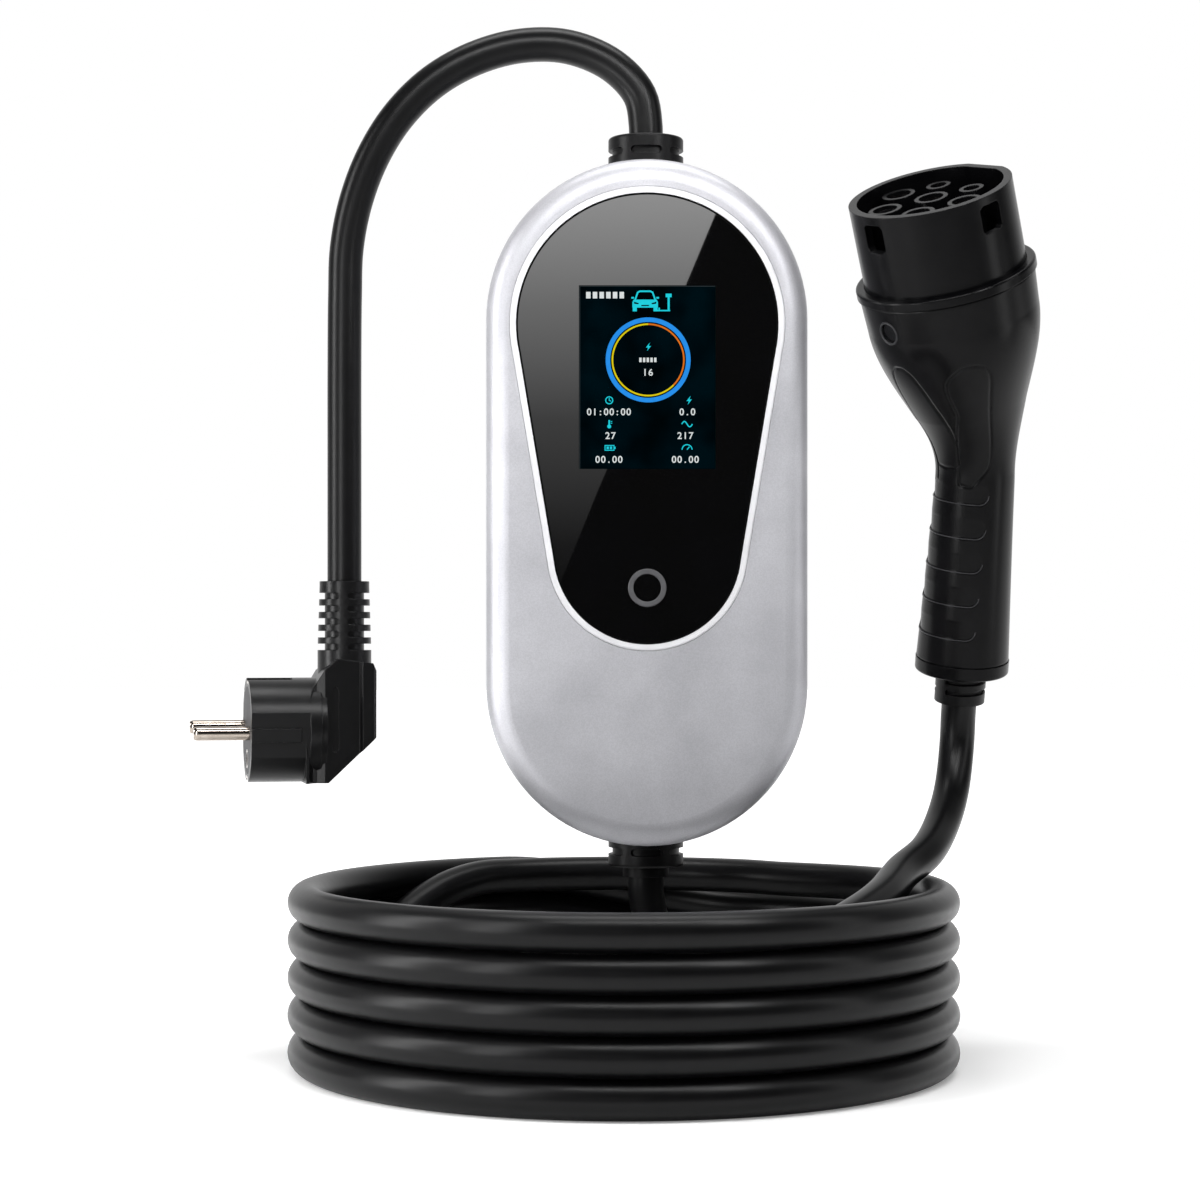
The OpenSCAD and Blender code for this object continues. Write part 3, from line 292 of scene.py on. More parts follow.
FINISHES = {
    SILVER: ["front_shell", "rear_shell"],
    BEZEL_HIGHLIGHT: ["bezel_ring"],
    ACRYLIC: ["display_panel"],
    GLASS: ["lcd_module"],
    KEY: ["touch_ring"],
    GLAND: ["mains_gland", "lead_gland", "case_seal", "tail_sleeve"],
    CABLE: ["mains_tail", "lead_tail", "connector_tail", "mains_cable", "lead_drop", "lead_coil",
            "lead_rise"],
    PLUG: ["plug_body"],
    FACE: ["plug_face"],
    CAP: ["housing_screw"],
    METAL: ["mains_pins", "earth_strips", "earth_socket", "power_contacts", "signal_contacts"],
    HOUSING: ["connector_shroud", "contact_carrier", "connector_flange", "connector_housing", "finger_inlay",
              "side_inlays", "end_ring"],
    SCREW: ["case_screws", "board_screws", "clamp_screws"],
    BOARD: ["display_board", "main_board"],
    NYLON: ["terminal_blocks"],
    DEVICE: ["relays", "current_sensor", "power_module", "cord_clamps"],
    CAN: ["capacitors", "display_ribbon"],
    BROWN: ["mains_wires"],
    BLUE: ["lead_wires"],
}


def dress_solids():
    for material, names in FINISHES.items():
        for name in names:
            mesh = nodes[name].data
            mesh.materials.clear()
            mesh.materials.append(material)


dress_solids()


def turned(degrees, axis):
    return Matrix.Rotation(math.radians(degrees), 3, axis)


# Leads: sizes in millimetres and routes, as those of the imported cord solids
MAINS_R = 5.9
LEAD_R = 6.2
COIL_R = 106.0
LOOP_GAP = 0.3
LOOP_R = COIL_R - 2 * LEAD_R - LOOP_GAP
TURNS = 5
BEND_AT = Vector((123.1, 30, 210.9))
HANDLE_LEAN, HANDLE_HEADING, HANDLE_ROLL, HEAD_BEND = 15.5, -83.0, -69.0, 17.0
FINGER_TURN = 9.0
BEND_RUN = 30.0
BEND_ARC = BEND_RUN / math.radians(HEAD_BEND)
BEND_LEAD = BEND_ARC * math.tan(math.radians(HEAD_BEND / 2))
SPINE_SLIP = BEND_LEAD - BEND_RUN / 2
HANDLE_LEN = 81.8
TAIL_SLEEVE_LEN = 11.2
HANDLE_TURN = turned(HANDLE_HEADING, "Z") @ turned(HANDLE_LEAN, "Y") @ turned(HANDLE_ROLL, "Z")
HANDLE_AXIS = HANDLE_TURN @ Vector((0, 0, 1))
LEAD_EXIT = BEND_AT - (HANDLE_LEN + TAIL_SLEEVE_LEN + SPINE_SLIP) * HANDLE_AXIS
EXIT_RUN = 5.0
TAIL_LEN = 30.0
LEAD_END = LEAD_EXIT + TAIL_LEN * HANDLE_AXIS
CORD_SIDES = 12


def eased(u):
    """From 0 to 1 with a soft start and a soft end."""
    u = np.clip(u, 0, 1)
    return u * u * (3 - 2 * u)


def around(radius, degrees, height):
    a = math.radians(degrees)
    return Vector((radius * math.cos(a), radius * math.sin(a), height))


def between(a, b, start, end, t):
    """The point at t on a run that is at a for start and at b for end."""
    return (end - t) / (end - start) * a + (t - start) / (end - start) * b


def threaded(points, step=2.5):
    """A smooth line through the points, sampled about every step millimetres."""
    points = [Vector(p) for p in points]
    ends = [2 * points[0] - points[1]] + points + [2 * points[-1] - points[-2]]
    line = []
    for a, b, c, d in zip(ends, ends[1:], ends[2:], ends[3:]):
        tb = math.sqrt((b - a).length)
        tc = tb + math.sqrt((c - b).length)
        td = tc + math.sqrt((d - c).length)
        count = max(1, round((c - b).length / step))
        for i in range(count):
            t = tb + (tc - tb) * i / count
            q = between(b, c, tb, tc, t)
            u = between(between(a, b, 0, tb, t), q, 0, tc, t)
            v = between(q, between(c, d, tc, td, t), tb, td, t)
            line.append(between(u, v, tb, tc, t))
    line.append(points[-1])
    return line


def cable(name, line, radius, material):
    """A round cord along a line of points in millimetres."""
    curve = bpy.data.curves.new(name, "CURVE")
    curve.dimensions = "3D"
    curve.bevel_depth = radius * MM
    curve.bevel_resolution = CORD_SIDES
    curve.use_fill_caps = True
    spline = curve.splines.new("POLY")
    spline.points.add(len(line) - 1)
    spline.points.foreach_set("co", [c for p in line for c in (*(p * MM), 1.0)])
    spline.use_smooth = True
    curve.materials.append(material)
    return linked(name, curve)


MAINS_EXIT = 316.5
MAINS_POINTS = [
    (8, 30, MAINS_EXIT), (8, 30, MAINS_EXIT + 4), (5.9, 30, 331.6), (-3.5, 30, 341.9), (-18.8, 30, 348.4),
    (-35.4, 30, 348.8), (-51.5, 30, 344.4), (-66, 30, 336.2), (-77.8, 30, 324.6), (-86.6, 30, 310.6),
    (-92.6, 30, 294.9), (-95.8, 30, 278.6), (-96.4, 30, 262), (-96.6, 30, 235), (-96.6, 30, 205),
    (-96.6, 30, 166.9), (-96.6, 30, 162.9)]

DROP_POINTS = [
    (8, 30, 60.7), (8, 30, 55.7), (10.5, 30.5, 44), (18, 32, 31), (31, 36.5, 20), (44, 45, 12), (53, 57, 8),
    (55.5, 69, 6.4), (47.5, 79.5, 6.4), (35, 86, 6.4), (20, 91.3, 6.4), (4, 93.5, 6.4)]
RISE_POINTS = [
    (52, -64, 46), (71.5, -40, 52.5), (85, -17.8, 58.2), (94.3, 4, 64.4), (104.3, 19.5, 70.2),
    (111.8, 36.9, 78.9), (116.8, 49.9, 90.1), (119.4, 56.6, 104.8)]

# Coil: stretches in degrees, each with its start and its end
JOIN, LEAVE, STEP_UP = (100, 160), (1820, 1855), (65, 115)
LOOP, LOOP_SINKS, LOOP_RISES = (60, 285), (120, 200), (225, 340)
TURN_STEP, LOOP_STEP = 6, 9
LOOP_CLEAR = 0.2


def passed(degrees, stretch):
    """How far along a stretch, eased, from 0 before it to 1 after it."""
    return eased((degrees - stretch[0]) / (stretch[1] - stretch[0]))


def loop_height(degrees):
    """The inner strand starts at the top turn, sinks to the floor at the left and rises at the front."""
    raised = 1 - passed(degrees, LOOP_SINKS) + passed(degrees, LOOP_RISES)
    return LEAD_R + LOOP_CLEAR + 2 * LEAD_R * (TURNS - 1) * raised


def coil_points():
    """From the floor run into the bottom turn, up through the turns, inward and once more around."""
    points = []
    for degrees in range(JOIN[0], LEAVE[1] + 1, TURN_STEP):
        radius = LOOP_R + (COIL_R - LOOP_R) * (passed(degrees, JOIN) - passed(degrees, LEAVE))
        level = sum(passed(degrees - 360 * k, STEP_UP) for k in range(1, TURNS))
        points.append(around(radius, degrees, LEAD_R * (1 + 2 * level)))
    for degrees in range(LOOP[0], LOOP[1] + 1, LOOP_STEP):
        points.append(around(LOOP_R, degrees, loop_height(degrees)))
    return points


# Connector grip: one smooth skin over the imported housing, with its inlay lines and finger recesses
WAIST_R, WAIST_AT, WAIST_CURVE = 13.7, -9.4, 1.15
HANDLE_END_R, END_RING_H = 16.5, 4.8
SHOULDER_R, SHOULDER_AT, SHOULDER_SLOPE = 29.3, 48.0, 0.05
FLANGE_AT = 60.0
GRIP_WALL = 3.4
GRIP_FOOT = END_RING_H - HANDLE_LEN
FINGER_COUNT, FINGER_FIRST, FINGER_PITCH = 5, 15.7, 12.0
FINGER_SPOTS = [-FINGER_FIRST - row * FINGER_PITCH for row in range(FINGER_COUNT)]
FINGER_HALF, FINGER_DEEP, FINGER_RISE = 3.3, 0.4, 0.4
FINGER_REACH = 16.2
FINGER_FLOOR, FINGER_SLOPE = 0.55, 0.45
CAP_AT, CAP_R, CAP_DEEP, CAP_RISE = 51.6, 3.5, 2.0, 0.5
CAP_BEAD_R, CAP_BEAD, FINGER_BEAD = 3.8, 0.4, 0.24
LINE_DEEP, LINE_HALF = 0.4, 0.42
TINY = 1e-9

# Inlay corners: millimetres along the spine and degrees around it
FINGER_INLAY = [(38.6, 0), (38.2, 4), (35.5, 9.5), (29.8, 14), (22.5, 17.5), (16.5, 21), (8.8, 23), (2, 22.5),
                (-4.6, 20), (-5.6, 8), (-5.8, 0)]
SIDE_INLAY = [(37, 47.5), (33.5, 37), (30.8, 34), (27.2, 33.5), (22.8, 34.5), (18.2, 35.5), (13, 31),
              (2, 23.5), (-3, 22), (-11.4, 22), (-12.4, 29.5), (-12.6, 41), (-9.8, 50.5), (-5.8, 64),
              (-2, 67.5), (3.5, 67.5), (13.5, 66), (22, 66.5), (30.2, 67.5), (34, 66), (36.4, 61.5),
              (37.2, 55.5)]


def spine_turn(s):
    """The spine's turn from the handle's axis, s millimetres from the bend's middle."""
    return np.radians(HEAD_BEND * np.clip(s / BEND_RUN + 0.5, 0, 1))


def spine_at(s):
    turn = spine_turn(s)
    past = np.maximum(0, s - BEND_RUN / 2)
    before = np.minimum(0, s + BEND_RUN / 2)
    x = BEND_ARC * (1 - np.cos(turn)) + past * np.sin(turn)
    z = BEND_ARC * np.sin(turn) - BEND_LEAD + past * np.cos(turn) + before
    return x, z


def spine_r(s):
    down = np.maximum(0, WAIST_AT - s) / (WAIST_AT + HANDLE_LEN)
    up = eased((s - WAIST_AT) / (SHOULDER_AT - WAIST_AT))
    return (WAIST_R + (HANDLE_END_R - WAIST_R) * down ** WAIST_CURVE + (SHOULDER_R - WAIST_R) * up
            + SHOULDER_SLOPE * np.maximum(0, s - SHOULDER_AT))


def skin_point(s, angle, radius):
    """Places on the grip, in the frame's millimetres."""
    turn = spine_turn(s)
    x, z = spine_at(s)
    out = radius * np.cos(angle)
    local = np.stack([x + out * np.cos(turn), radius * np.sin(angle), z - out * np.sin(turn)], axis=-1)
    return local @ np.array(HANDLE_TURN).T + np.array(BEND_AT)


def rounded_outline(corners, per_side=8):
    """A closed smooth line through the corners."""
    corners = np.array(corners, dtype=float)
    line = []
    for i in range(len(corners)):
        a, b, c, d = (corners[(i + k) % len(corners)] for k in (-1, 0, 1, 2))
        for t in np.arange(per_side) / per_side:
            line.append(0.5 * (2 * b + (c - a) * t + (2 * a - 5 * b + 4 * c - d) * t ** 2
                               + (3 * b - a - 3 * c + d) * t ** 3))
    return np.array(line)


def outline_distance(points, line):
    """Distance to a closed line, negative inside it."""
    best = np.full(len(points), np.inf)
    inside = np.zeros(len(points), dtype=bool)
    for a, b in zip(line, np.roll(line, -1, axis=0)):
        run = b - a
        t = np.clip(((points - a) @ run) / max(run @ run, TINY), 0, 1)
        best = np.minimum(best, np.hypot(*(points - a - t[:, None] * run).T))
        across = (a[1] > points[:, 1]) != (b[1] > points[:, 1])
        slope = run[0] / (run[1] if abs(run[1]) > TINY else TINY)
        inside ^= across & (points[:, 0] < a[0] + slope * (points[:, 1] - a[1]))
    return np.where(inside, -best, best)


def inlay_lines():
    mirrored = [(s, -a) for s, a in reversed(FINGER_INLAY[1:-1])]
    other_side = [(s, -a) for s, a in SIDE_INLAY]
    return [rounded_outline(corners) for corners in (FINGER_INLAY + mirrored, SIDE_INLAY, other_side)]


def flat_map(s, degrees):
    """Skin places as flat millimetres, along the spine and around it."""
    return np.stack([s, np.radians(degrees) * spine_r(s)], axis=-1)


def grip_depth(s, degrees):
    """How deep the skin lies under the plain loft, and where it is soft rubber."""
    flat = flat_map(s, degrees)
    depth = np.zeros(len(s))
    soft = np.zeros(len(s))
    for line in inlay_lines():
        gap = outline_distance(flat, flat_map(line[:, 0], line[:, 1]))
        depth += LINE_DEEP * np.exp(-(gap / LINE_HALF) ** 2)
        soft = np.maximum(soft, (gap < 0).astype(float))
    beyond = np.maximum(np.abs(flat[:, 1]) - (FINGER_REACH - FINGER_HALF), 0)
    for middle in FINGER_SPOTS:
        inner = FINGER_HALF - np.hypot(s - middle, beyond)
        slope = FINGER_FLOOR + FINGER_SLOPE * np.clip((middle - s) / FINGER_HALF, -1, 1)
        depth = np.maximum(depth, FINGER_DEEP * slope * eased(inner / FINGER_RISE + 0.5))
    from_cap = np.hypot(s - CAP_AT, flat[:, 1])
    return np.maximum(depth, CAP_DEEP * eased((CAP_R - from_cap) / CAP_RISE + 0.5)), soft


def spaced(*stretches):
    """Numbers along a line, each stretch given as start, end and spacing."""
    runs = [np.arange(start, end, step) for start, end, step in stretches]
    return np.concatenate(runs + [[stretches[-1][1]]])


def connector_grip():
    """The grip's skin, finer where lines and recesses are, closed by a coarse inner wall."""
    along = spaced((GRIP_FOOT, -70, 0.7), (-70, 40, 0.4), (40, 46, 0.8), (46, 57, 0.4), (57, FLANGE_AT, 1.0))
    inner_along = along[::12][::-1]
    angles = np.concatenate([spaced((-76, 76, 0.9))[:-1], np.arange(76, 284, 4.0)])
    s, degrees = (grid.ravel() for grid in np.meshgrid(along, angles, indexing="ij"))
    around_front = np.where(degrees > 180, degrees - 360, degrees)
    depth, soft = grip_depth(s, around_front)
    outer = skin_point(s, np.radians(degrees + FINGER_TURN), spine_r(s) - depth)
    s_in, degrees_in = (grid.ravel() for grid in np.meshgrid(inner_along, angles, indexing="ij"))
    inner = skin_point(s_in, np.radians(degrees_in + FINGER_TURN), spine_r(s_in) - GRIP_WALL)
    rows, wide = len(along) + len(inner_along), len(angles)
    index = np.arange(rows * wide).reshape(rows, wide)
    after = np.roll(index, -1, axis=0)
    quads = np.stack([index, np.roll(index, -1, axis=1), np.roll(after, -1, axis=1), after], axis=-1)
    mesh = bpy.data.meshes.new("connector_grip")
    mesh.from_pydata(np.concatenate([outer, inner]) * MM, [], quads.reshape(-1, 4).tolist())
    mesh.shade_smooth()
    touch = mesh.attributes.new("soft", "FLOAT", "POINT")
    touch.data.foreach_set("value", np.concatenate([soft, np.zeros(len(inner))]))
    mesh.materials.append(GRIP)
    grip = linked("connector_grip", mesh)
    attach(grip, "root")
    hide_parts("connector_housing", "finger_inlay", "side_inlays")
    return grip


def bead(name, s, across, radius, closed=False):
    """A fine polished bead along a line on the skin, given in flat millimetres; its lighter grey is a painted
    highlight.
    """
    turn = np.radians(FINGER_TURN) + across / spine_r(s)
    wire = cable(name, [Vector(p) for p in skin_point(s, turn, spine_r(s))], radius, BEAD_HIGHLIGHT_GREY)
    wire.data.splines[0].use_cyclic_u = closed
    mesh = baked_mesh(wire)
    bpy.data.objects.remove(wire)
    piece = linked(name, mesh)
    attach(piece, "root")
    return piece


def grip_beads():
    """Beads on the rim of the screw cap's recess and the lower edges of the finger recesses, in a lighter
    grey as painted highlights where these edges catch light.
    """
    turns = np.radians(np.arange(0, 360, 10))
    rim = CAP_BEAD_R * np.cos(turns), CAP_BEAD_R * np.sin(turns)
    beads = [bead("connector_cap_rim", CAP_AT + rim[0], rim[1], CAP_BEAD, True)]
    bend = np.radians(np.arange(0, 91, 10))
    side, down = FINGER_HALF * np.cos(bend), FINGER_HALF * np.sin(bend)
    reach = FINGER_REACH - FINGER_HALF
    straight = np.linspace(reach, -reach, 20)[1:-1]
    across = np.concatenate([reach + side, straight, -reach - down])
    below = np.concatenate([down, np.full(len(straight), FINGER_HALF), side])
    for row, middle in enumerate(FINGER_SPOTS):
        beads.append(bead(f"connector_finger_edge_{row + 1}", middle - below, across, FINGER_BEAD))
    return beads


GRIP_PIECE = connector_grip()
GRIP_BEADS = grip_beads()
mains_line = threaded(MAINS_POINTS)
lead_line = threaded(DROP_POINTS + coil_points() + RISE_POINTS
                     + [LEAD_EXIT - EXIT_RUN * HANDLE_AXIS, LEAD_EXIT, LEAD_END])
mains_lead = cable("mains_lead", mains_line, MAINS_R, CABLE)
vehicle_lead = cable("vehicle_lead", lead_line, LEAD_R, CABLE)
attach(mains_lead, "root")
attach(vehicle_lead, "root")
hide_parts("mains_cable")
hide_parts("lead_drop", "lead_coil", "lead_rise", "connector_tail")


# Display: lit digits, pictograms and a ring gauge on the glass, in millimetres from the middle of the screen
SCREEN_AT = (8.0, 231.1)
SCREEN_SIZE = (45.8, 61.6)
PIXELS_AT = 1.27
PIXELS_THICK = 0.03
PIXELS_WELD = 0.004
EDGE_WIDE, EDGE_IN = 0.22, 0.2
DIGIT_HIGH, DIGIT_PITCH = 2.35, 1.9
DIGIT_FONT, DIGIT_BOLD = 1.37 * DIGIT_HIGH, 0.05
MITRE_LEAST = 0.4
CAR_AT = (-0.7, 25.6)
RING_AT = (0.3, 5.8)
RING_BLUE = (12.75, 14.3)
RING_THIN = (11.75, 12.3)
RING_SPLIT = 135


def arc(centre, radius, start, end, count):
    """Points on an arc, from start to end degrees, clockwise from twelve."""
    turns = [math.radians(start + (end - start) * i / count) for i in range(count + 1)]
    return [(centre[0] + radius * math.sin(t), centre[1] + radius * math.cos(t)) for t in turns]


def band(centre, radii, start=0, end=360):
    """A ring or part of one, as four-sided tiles."""
    inner, outer = (arc(centre, r, start, end, max(8, int((end - start) / 4))) for r in radii)
    return [[a, b, d, c] for a, b, c, d in zip(inner, inner[1:], outer, outer[1:])]


def stroke(points, width):
    """A line of even width through the points, as tiles with mitred corners."""
    points = [Vector(p) for p in points]
    runs = [(b - a).normalized() for a, b in zip(points, points[1:])]
    sides = []
    for p, behind, ahead in zip(points, runs[:1] + runs, runs + runs[-1:]):
        run = (ahead + behind).normalized()
        normal = Vector((-run.y, run.x))
        mitre = width / 2 / max(MITRE_LEAST, abs(run.dot(ahead)))
        sides.append((p + normal * mitre, p - normal * mitre))
    return [[a, b, d, c] for (a, b), (c, d) in zip(sides, sides[1:])]


def block(x, z, wide, high):
    """One upright tile around a middle."""
    return [[(x - wide / 2, z - high / 2), (x + wide / 2, z - high / 2),
             (x + wide / 2, z + high / 2), (x - wide / 2, z + high / 2)]]


def digits(text, x, z):
    """Plain numbers, evenly spaced around x."""
    tiles = []
    for i, sign in enumerate(text):
        curve = bpy.data.curves.new("digit", "FONT")
        curve.body = sign
        curve.align_x = "CENTER"
        curve.size = DIGIT_FONT
        curve.offset = DIGIT_BOLD
        holder = linked("digit", curve)
        mesh = baked_mesh(holder)
        middle = x + (i - (len(text) - 1) / 2) * DIGIT_PITCH
        foot = z - DIGIT_HIGH / 2
        spots = [(middle + v.co.x, foot + v.co.y) for v in mesh.vertices]
        tiles += [[spots[v] for v in face.vertices] for face in mesh.polygons]
        bpy.data.objects.remove(holder)
        bpy.data.meshes.remove(mesh)
        bpy.data.curves.remove(curve)
    return tiles


def moved(points, x, z, scale=1.0):
    return [(x + a * scale, z + b * scale) for a, b in points]


def car_front(x, z):
    """A car seen from the front, 9 mm wide."""
    roof = [(-3.4, 0.4), (-2.5, 2.9), (-1.8, 3.3), (1.8, 3.3), (2.5, 2.9), (3.4, 0.4)]
    hood = [(-3.9, 0.5), (-4.3, -0.4), (-4.3, -2.2), (4.3, -2.2), (4.3, -0.4), (3.9, 0.5)]
    mirrors = block(x - 4.2, z + 1.1, 0.9, 0.6) + block(x + 4.2, z + 1.1, 0.9, 0.6)
    wheels = block(x - 3.5, z - 2.8, 1.4, 1.3) + block(x + 3.5, z - 2.8, 1.4, 1.3)
    return stroke(moved(roof, x, z), 0.55) + [moved(hood, x, z)] + mirrors + wheels


def car_gaps(x, z):
    """The dark lamps and grille of the car."""
    lamps = [moved([(m * 3.8, -0.2), (m * 2.1, -0.7), (m * 2.3, -1.1), (m * 3.7, -0.9)], x, z)
             for m in (-1, 1)]
    return lamps + block(x, z - 1.5, 2.6, 0.4)


def charging_post(x, z):
    """A post with its head, its foot and a short stub."""
    post = block(x + 0.6, z, 0.7, 5.6) + block(x + 0.6, z + 2.4, 2.0, 1.2)
    return post + block(x - 1.0, z - 2.7, 4.2, 0.45) + block(x - 2.6, z - 2.2, 0.5, 1.0)


def clock_face(x, z):
    return band((x, z), (1.0, 1.35)) + stroke([(x, z + 0.8), (x, z), (x + 0.6, z - 0.3)], 0.3)


def bolt(x, z, scale=1.0):
    upper = [(0.5, 1.5), (-0.9, -0.25), (-0.1, -0.25), (0.1, 0.3)]
    lower = [(-0.1, -0.25), (-0.5, -1.5), (0.9, 0.3), (0.1, 0.3)]
    return [moved(part, x, z, scale) for part in (upper, lower)]


def thermometer(x, z):
    marks = block(x + 0.75, z + 0.9, 0.5, 0.25) + block(x + 0.75, z + 0.3, 0.5, 0.25)
    return block(x, z + 0.45, 0.55, 1.8) + band((x, z - 0.8), (0.0, 0.65)) + marks


def battery(x, z):
    corners = [(-1.6, -0.8), (1.4, -0.8), (1.4, 0.8), (-1.6, 0.8), (-1.6, -0.95)]
    case = stroke(moved(corners, x, z), 0.3)
    return case + block(x + 1.75, z, 0.35, 0.8) + block(x - 0.7, z, 0.8, 0.9) + block(x + 0.4, z, 0.8, 0.9)


def wave(x, z):
    return stroke([(x - 1.8 + 3.6 * i / 24, z + 0.9 * math.sin(math.tau * i / 24)) for i in range(25)], 0.38)


def dial(x, z):
    return band((x, z - 0.6), (1.5, 1.85), -90, 90) + stroke([(x, z - 0.6), (x + 0.8, z + 0.4)], 0.35)


def level_blocks(x, z, count, tall, wide, gap):
    """A row of plain blocks around x."""
    return [tile for i in range(count)
            for tile in block(x + (i - (count - 1) / 2) * (wide + gap), z, wide, tall)]


def lit_piece(name, tiles, material, rise=0.0):
    """One thin lit piece from flat tiles; rise lifts it towards the viewer."""
    work = bmesh.new()
    front = PIXELS_AT - rise
    for tile in tiles:
        corners = [work.verts.new(Vector((SCREEN_AT[0] + x, front, SCREEN_AT[1] + z)) * MM) for x, z in tile]
        work.faces.new(corners)
    bmesh.ops.remove_doubles(work, verts=work.verts, dist=PIXELS_WELD * MM)
    bmesh.ops.recalc_face_normals(work, faces=work.faces)
    for face in work.faces:
        if face.normal.y > 0:
            face.normal_flip()
    mesh = bpy.data.meshes.new(name)
    work.to_mesh(mesh)
    work.free()
    mesh.materials.append(material)
    piece = linked(name, mesh)
    thicken(piece, PIXELS_THICK)
    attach(piece, "root")


def display_pixels():
    cyan = (car_front(*CAR_AT) + charging_post(6.6, 25.1) + bolt(0.4, 10.2, 0.95)
            + clock_face(-12.8, -7.8) + bolt(14.1, -7.8) + thermometer(-12.8, -15.8) + wave(13.4, -15.8)
            + battery(-12.6, -23.8) + dial(13.4, -23.8))
    white = (level_blocks(-14.2, 27.6, 6, 2.2, 1.5, 0.75) + level_blocks(0.2, 5.8, 5, 1.5, 0.8, 0.45)
             + digits("16", 0.2, 1.7) + digits("01:00:00", -12.9, -11.6) + digits("0.0", 13.5, -11.6)
             + digits("27", -12.4, -19.6) + digits("217", 12.8, -19.6) + digits("00.00", -12.9, -27.6)
             + digits("00.00", 12.8, -27.6))
    right, top = SCREEN_SIZE[0] / 2, SCREEN_SIZE[1] / 2
    corner = (EDGE_IN - right, top - EDGE_IN)
    edge = stroke([(corner[0], -top), corner, (right, corner[1])], EDGE_WIDE)
    lit_piece("display_cyan_signs", cyan, lit_pixels("lit_cyan_pixels", "#22e2f2"))
    lit_piece("display_white_digits", white, lit_pixels("lit_white_pixels", "#eef4f4"))
    lit_piece("display_blue_ring", band(RING_AT, RING_BLUE), lit_pixels("lit_blue_pixels", "#2a9cff"))
    yellow, orange = (band(RING_AT, RING_THIN, *ends) for ends in ((RING_SPLIT, 360), (0, RING_SPLIT)))
    lit_piece("display_yellow_arc", yellow, lit_pixels("lit_yellow_pixels", "#f2dc12"))
    lit_piece("display_orange_arc", orange, lit_pixels("lit_orange_pixels", "#f07a1e"))
    lit_piece("display_edge", edge, lit_pixels("dim_edge_pixels", "#3c4448", 0.6))
    unlit = lit_pixels("unlit_pixels", "#01070b", 0.4)
    lit_piece("display_dark_gaps", car_gaps(*CAR_AT), unlit, PIXELS_THICK)


display_pixels()


# Panel edge: a thin dark strip, painted shade for the gap between the panel and the bright band around it
GAP_WIDE, GAP_PROUD, GAP_DEEP = 0.55, 0.02, 0.1
NODE_WELD = 0.002
FRONT_FACING, FRONT_DEPTH = -0.99, 0.05


def welded(node):
    """A node's mesh with its corners joined, to read its form."""
    work = bmesh.new()
    work.from_mesh(node.data)
    bmesh.ops.remove_doubles(work, verts=work.verts, dist=NODE_WELD * MM)
    return work


def front_outline(node):
    """The tallest edge line of a node's front face, in order, as points in metres."""
    work = welded(node)
    front = min(v.co.y for v in work.verts) + FRONT_DEPTH * MM
    flat = {f for f in work.faces if f.normal.y < FRONT_FACING and f.calc_center_median().y < front}
    rim = [e for e in work.edges if sum(f in flat for f in e.link_faces) == 1]
    nexts = {}
    for edge in rim:
        a, b = edge.verts
        nexts.setdefault(a.index, []).append(b.index)
        nexts.setdefault(b.index, []).append(a.index)
    places = {v.index: v.co.copy() for v in work.verts}
    work.free()
    loops, left = [], set(nexts)
    while left:
        start = left.pop()
        loop, here = [start], nexts[start][0]
        while here in left:
            left.remove(here)
            loop.append(here)
            here = next((n for n in nexts[here] if n in left), start)
        loops.append([places[i] for i in loop])
    return max(loops, key=lambda line: max(p.z for p in line) - min(p.z for p in line))


def panel_gap_shade():
    """A thin dark strip just inside the panel's edge: painted shade standing for the gap there."""
    outline = front_outline(nodes["display_panel"])
    middle = sum(outline, Vector()) / len(outline)
    lift = Vector((0, -GAP_PROUD * MM, 0))
    verts, count = [], len(outline)
    for i, p in enumerate(outline):
        run = (outline[(i + 1) % count] - outline[i - 1]).normalized()
        side = Vector((-run.z, 0, run.x))
        side = side if side.dot(middle - p) > 0 else -side
        verts += [p + lift, p + side * GAP_WIDE * MM + lift]
    starts = range(0, 2 * count, 2)
    faces = [(a, b, b + 1, a + 1) for a, b in zip(starts, [*starts[1:], 0])]
    mesh = bpy.data.meshes.new("panel_gap_shade")
    mesh.from_pydata(verts, [], faces)
    if mesh.polygons[0].normal.y > 0:
        mesh.flip_normals()
    mesh.materials.append(GAP_SHADE)
    piece = linked("panel_gap_shade", mesh)
    thicken(piece, GAP_DEEP)
    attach(piece, "root")


panel_gap_shade()


# Case screws: a cross recess in each head, repeated over the heads by nodes
RECESS = {"Arm Length": 3.4 * MM, "Arm Width": 0.75 * MM, "Depth": 0.06 * MM}


def head_spots(node):
    """The middle of each screw's rear face."""
    work = welded(node)
    spots, seen = [], set()
    for first in work.verts:
        if first in seen:
            continue
        island, edge = set(), {first}
        while edge:
            island |= edge
            edge = {e.other_vert(v) for v in edge for e in v.link_edges} - island
        seen |= island
        xs, ys, zs = zip(*(v.co for v in island))
        spots.append(((min(xs) + max(xs)) / 2, max(ys), (min(zs) + max(zs)) / 2))
    work.free()
    return spots


